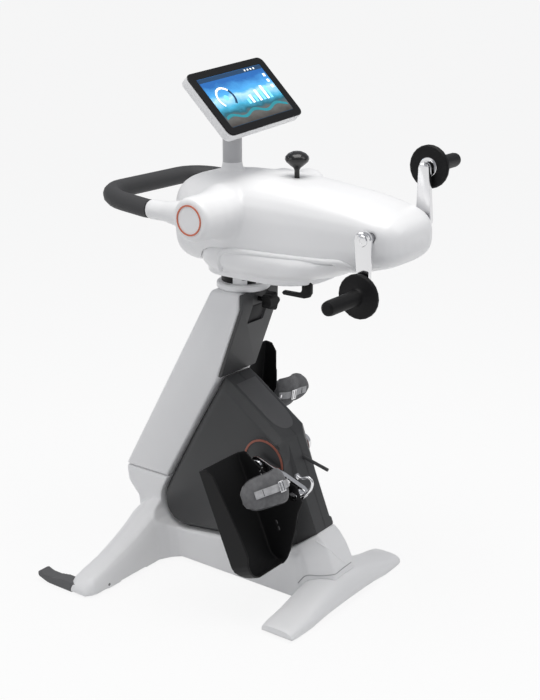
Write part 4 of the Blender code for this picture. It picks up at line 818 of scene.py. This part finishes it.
# Display: a bright colour panel under glass in a dark bezel, on a white back shell.
# The picture is a generic training screen: gauge ring, bars, a wave and a row of dots.
def screen_frame():
    """Frame of the display: X out of its face, Y to the viewer's right, Z up its face."""
    tilt, yaw, roll = math.radians(44.0), math.radians(4.0), math.radians(6.0)
    normal = Vector((math.cos(yaw) * math.cos(tilt), -math.sin(yaw) * math.cos(tilt), math.sin(tilt)))
    right = Vector((math.sin(yaw), math.cos(yaw), 0.0))
    up = normal.cross(right)
    across = right * math.cos(roll) + up * math.sin(roll)
    upward = up * math.cos(roll) - right * math.sin(roll)
    turn = Matrix((normal, across, upward)).transposed().to_4x4()
    turn.translation = Vector((post_x, 0.0, 1.170)) + normal * 0.040 - upward * 0.019
    return turn


def lit(name, colour, strength=0.55):
    """A patch of the picture, which glows a little through the glass."""
    material = bpy.data.materials.new(name)
    material.use_nodes = True
    tree = material.node_tree
    shader = tree.nodes["Principled BSDF"]
    shader.inputs["Roughness"].default_value = 0.12
    shader.inputs["Emission Strength"].default_value = strength
    place = tree.nodes.new("ShaderNodeTexCoord")
    dots = tree.nodes.new("ShaderNodeTexNoise")
    dots.inputs["Scale"].default_value = 120.0
    tree.links.new(place.outputs["Object"], dots.inputs["Vector"])
    tone = tree.nodes.new("ShaderNodeValToRGB")
    tone.color_ramp.elements[0].color = (*[c * 0.9 for c in colour], 1.0)
    tone.color_ramp.elements[1].color = (*[min(c * 1.08, 1.0) for c in colour], 1.0)
    tree.links.new(dots.outputs["Fac"], tone.inputs["Fac"])
    tree.links.new(tone.outputs["Color"], shader.inputs["Base Color"])
    tree.links.new(tone.outputs["Color"], shader.inputs["Emission Color"])
    return material


display_turn = screen_frame()
dress(["screen_glass"], moulded_plastic("display_glass", (0.02, 0.06, 0.11), 0.12))
picture_tint = lit("picture_tint", (0.10, 0.42, 0.80), 0.32)
tree = picture_tint.node_tree
tone = next(node for node in tree.nodes if node.type == "VALTORGB")
uv = tree.nodes.new("ShaderNodeUVMap")
uv.uv_map = "UVMap"
split = tree.nodes.new("ShaderNodeSeparateXYZ")
tree.links.new(uv.outputs["UV"], split.inputs["Vector"])
haze = tree.nodes.new("ShaderNodeTexNoise")
haze.inputs["Scale"].default_value = 7.0
haze.inputs["Detail"].default_value = 5.0
tree.links.new(uv.outputs["UV"], haze.inputs["Vector"])
drift = tree.nodes.new("ShaderNodeMath")
drift.operation = "MULTIPLY_ADD"
drift.inputs[1].default_value = 0.22
tree.links.new(haze.outputs["Fac"], drift.inputs[0])
tree.links.new(split.outputs["Y"], drift.inputs[2])
tree.links.new(drift.outputs[0], tone.inputs["Fac"])
ramp = tone.color_ramp
ramp.elements[0].position, ramp.elements[0].color = 0.10, (0.045, 0.040, 0.036, 1.0)
ramp.elements[1].position, ramp.elements[1].color = 0.95, (0.012, 0.11, 0.36, 1.0)
for position, colour in ((0.26, (0.10, 0.10, 0.095)), (0.36, (0.012, 0.10, 0.14)),
                         (0.48, (0.05, 0.36, 0.56)), (0.64, (0.40, 0.66, 0.84)),
                         (0.72, (0.07, 0.36, 0.74))):
    ramp.elements.new(position).color = (*colour, 1.0)
bpy.ops.object.select_all(action="DESELECT")
bpy.ops.mesh.primitive_plane_add(size=1.0, location=(0.0, 0.0, 0.0))
picture = bpy.context.object
picture.name = "display_picture"
picture_width, picture_height = 0.2290, 0.1330
upright = Matrix(((0.0, 0.0, 1.0, 0.0), (1.0, 0.0, 0.0, 0.0), (0.0, 1.0, 0.0, 0.0), (0.0, 0.0, 0.0, 1.0)))
picture.data.transform(display_turn @ Matrix.Translation((-0.00066, 0.0, 0.0)) @ upright
                       @ Matrix.Diagonal((picture_width, picture_height, 1.0, 1.0)))
work(picture, "SOLIDIFY", thickness=0.0001, offset=-1.0)
fit(picture, "screen", picture_tint, crease=30)


print_lift, upper_print_lift = -0.00064, -0.00052


def shown(name, outline, material, lift=print_lift):
    """A flat shape of the picture, as thin as a print, lying on the panel."""
    low = [display_turn @ Vector((lift, y, z)) for y, z in outline]
    high = [display_turn @ Vector((lift + 0.00012, y, z)) for y, z in outline]
    return fit(skin(name, [low, high]), "screen", material, crease=30)


def bar(y0, z0, y1, z1):
    """Outline of an upright rectangle, from its lower left corner to its upper right."""
    return [(y0, z0), (y1, z0), (y1, z1), (y0, z1)]


def sector(cy, cz, inner, outer, start, end, count=28):
    """Outline of a part of a ring, between two radii and two angles in degrees."""
    turns = [math.radians(start + (end - start) * k / count) for k in range(count + 1)]
    arc_out = [(cy + outer * math.cos(a), cz + outer * math.sin(a)) for a in turns]
    arc_in = [(cy + inner * math.cos(a), cz + inner * math.sin(a)) for a in reversed(turns)]
    return arc_out + arc_in


lit_white = lit("picture_white", (0.86, 0.92, 0.95))
lit_cyan = lit("picture_cyan", (0.20, 0.62, 0.86))
lit_teal = lit("picture_teal", (0.02, 0.22, 0.27), 0.3)
lit_navy = lit("picture_navy", (0.010, 0.045, 0.11), 0.2)
shown("picture_header", bar(-0.1140, 0.0555, 0.1140, 0.0660), lit_navy)
shown("picture_gauge_track", sector(-0.066, 0.006, 0.0235, 0.0300, 225, -45), lit_navy)
shown("picture_gauge_fill", sector(-0.066, 0.006, 0.0240, 0.0295, 225, 40), lit_white, upper_print_lift)
shown("picture_gauge_mark", sector(-0.066, 0.006, 0.0002, 0.0075, 0, 350), lit_cyan, upper_print_lift)
for k, height in enumerate((0.014, 0.022, 0.018, 0.031, 0.027, 0.038, 0.034)):
    y = -0.008 + 0.0135 * k
    shown(f"picture_bar_{k}", bar(y, -0.024, y + 0.0085, -0.024 + height),
          lit_white if k % 2 else lit_cyan)
wave = [(-0.110 + 0.220 * k / 40, -0.0405 + 0.0055 * math.sin(k * 0.42)) for k in range(41)]
shown("picture_wave", wave + [(y, z - 0.0075) for y, z in reversed(wave)], lit_teal)
for k in range(4):
    shown(f"picture_dot_{k}", sector(0.0865 - 0.011 * k, 0.0608, 0.0001, 0.0026, 0, 340, 14),
          lit_white, upper_print_lift)
for k in range(3):
    shown(f"picture_key_{k}", bar(0.1000, 0.0330 - 0.0165 * k, 0.1085, 0.0415 - 0.0165 * k), lit_white)


# Arm drive fittings: a black carrier between crank and guard, and a bright washer on each guard.
# The carrier is pressed on the crank's pin; the washer seats the grip's bearing.
arm_throw = 0.115
arm_crank_angles = {"left": -88.0, "right": 92.0}
carrier_profile = [(0.0105, 0.0), (0.0118, 0.0010), (0.0118, 0.0045), (0.0100, 0.0058)]
washer_profile = [(0.0215, 0.0), (0.0215, 0.0010), (0.0205, 0.0016), (0.0142, 0.0016), (0.0138, 0.0010),
                  (0.0004, 0.0010)]
for side, way in both_sides:
    tip_angle = math.radians(arm_crank_angles[side])
    tip = Vector((arm_axle_x + arm_throw * math.cos(tip_angle), 0.0,
                  arm_axle_z + arm_throw * math.sin(tip_angle)))
    carrier = turned(f"grip_carrier_{side}", carrier_profile, tip + Vector((0.0, way * 0.1309, 0.0)),
                     (0.0, way, 0.0), 32)
    fit(carrier, "arm_crank", black_shell, crease=30)
    washer = turned(f"guard_washer_{side}", washer_profile, tip + Vector((0.0, way * 0.13895, 0.0)),
                    (0.0, -way, 0.0), 40)
    fit(washer, f"grip_{side}", chrome_plate, crease=30)


# Foot adjusters: a bent chrome rod by each pedal pin, with its nut, that sets the shell's angle.
# It is bent from one rod and rides on the foot shell.
rod_y = 0.1045
rod_way = [(0.180, 0.345), (0.194, 0.342), (0.213, 0.352), (0.224, 0.340), (0.219, 0.321), (0.200, 0.300),
           (0.1804, 0.2986)]
near_sole = sole_frame("left").inverted()
bent = eased([near_sole @ Vector((x, -rod_y, z)) for x, z in rod_way], 2)
nut_profile = [(0.0072, 0.0), (0.0080, 0.0010), (0.0080, 0.0046), (0.0072, 0.0056), (0.0030, 0.0058)]
for side in ("left", "right"):
    sole = sole_frame(side)
    rod = cord_of(f"foot_adjuster_{side}", [sole @ point for point in bent], 0.0036, closed=False, sides=5)
    fit(rod, f"foot_{side}", chrome_plate)
    nut = turned(f"adjuster_nut_{side}", nut_profile, (0.0, 0.0, 0.0), (0.0, 0.0, 1.0), 6)
    nut.data.transform(sole @ Matrix.Translation((0.0860, rod_y, 0.1440)))
    faced_out(nut)
    fit(nut, f"foot_{side}", chrome_plate, crease=30)


# Fasteners of the front cross foot: one dark steel screw near each end.
# They sit in the flank that faces the user and show as small dark spots.
joint_shade = moulded_plastic("joint_shade", (0.22, 0.22, 0.225), 0.6, shine=0.2)
screw_profile = [(0.0040, 0.0), (0.0036, 0.0006), (0.0020, 0.0008), (0.0004, 0.0008)]
for side, way in both_sides:
    screw = turned(f"front_foot_screw_{side}", screw_profile, (-0.2408, way * 0.3011, 0.0158),
                   (1.0, 0.0, 0.05), 20)
    fit(screw, "base", joint_shade, crease=30)
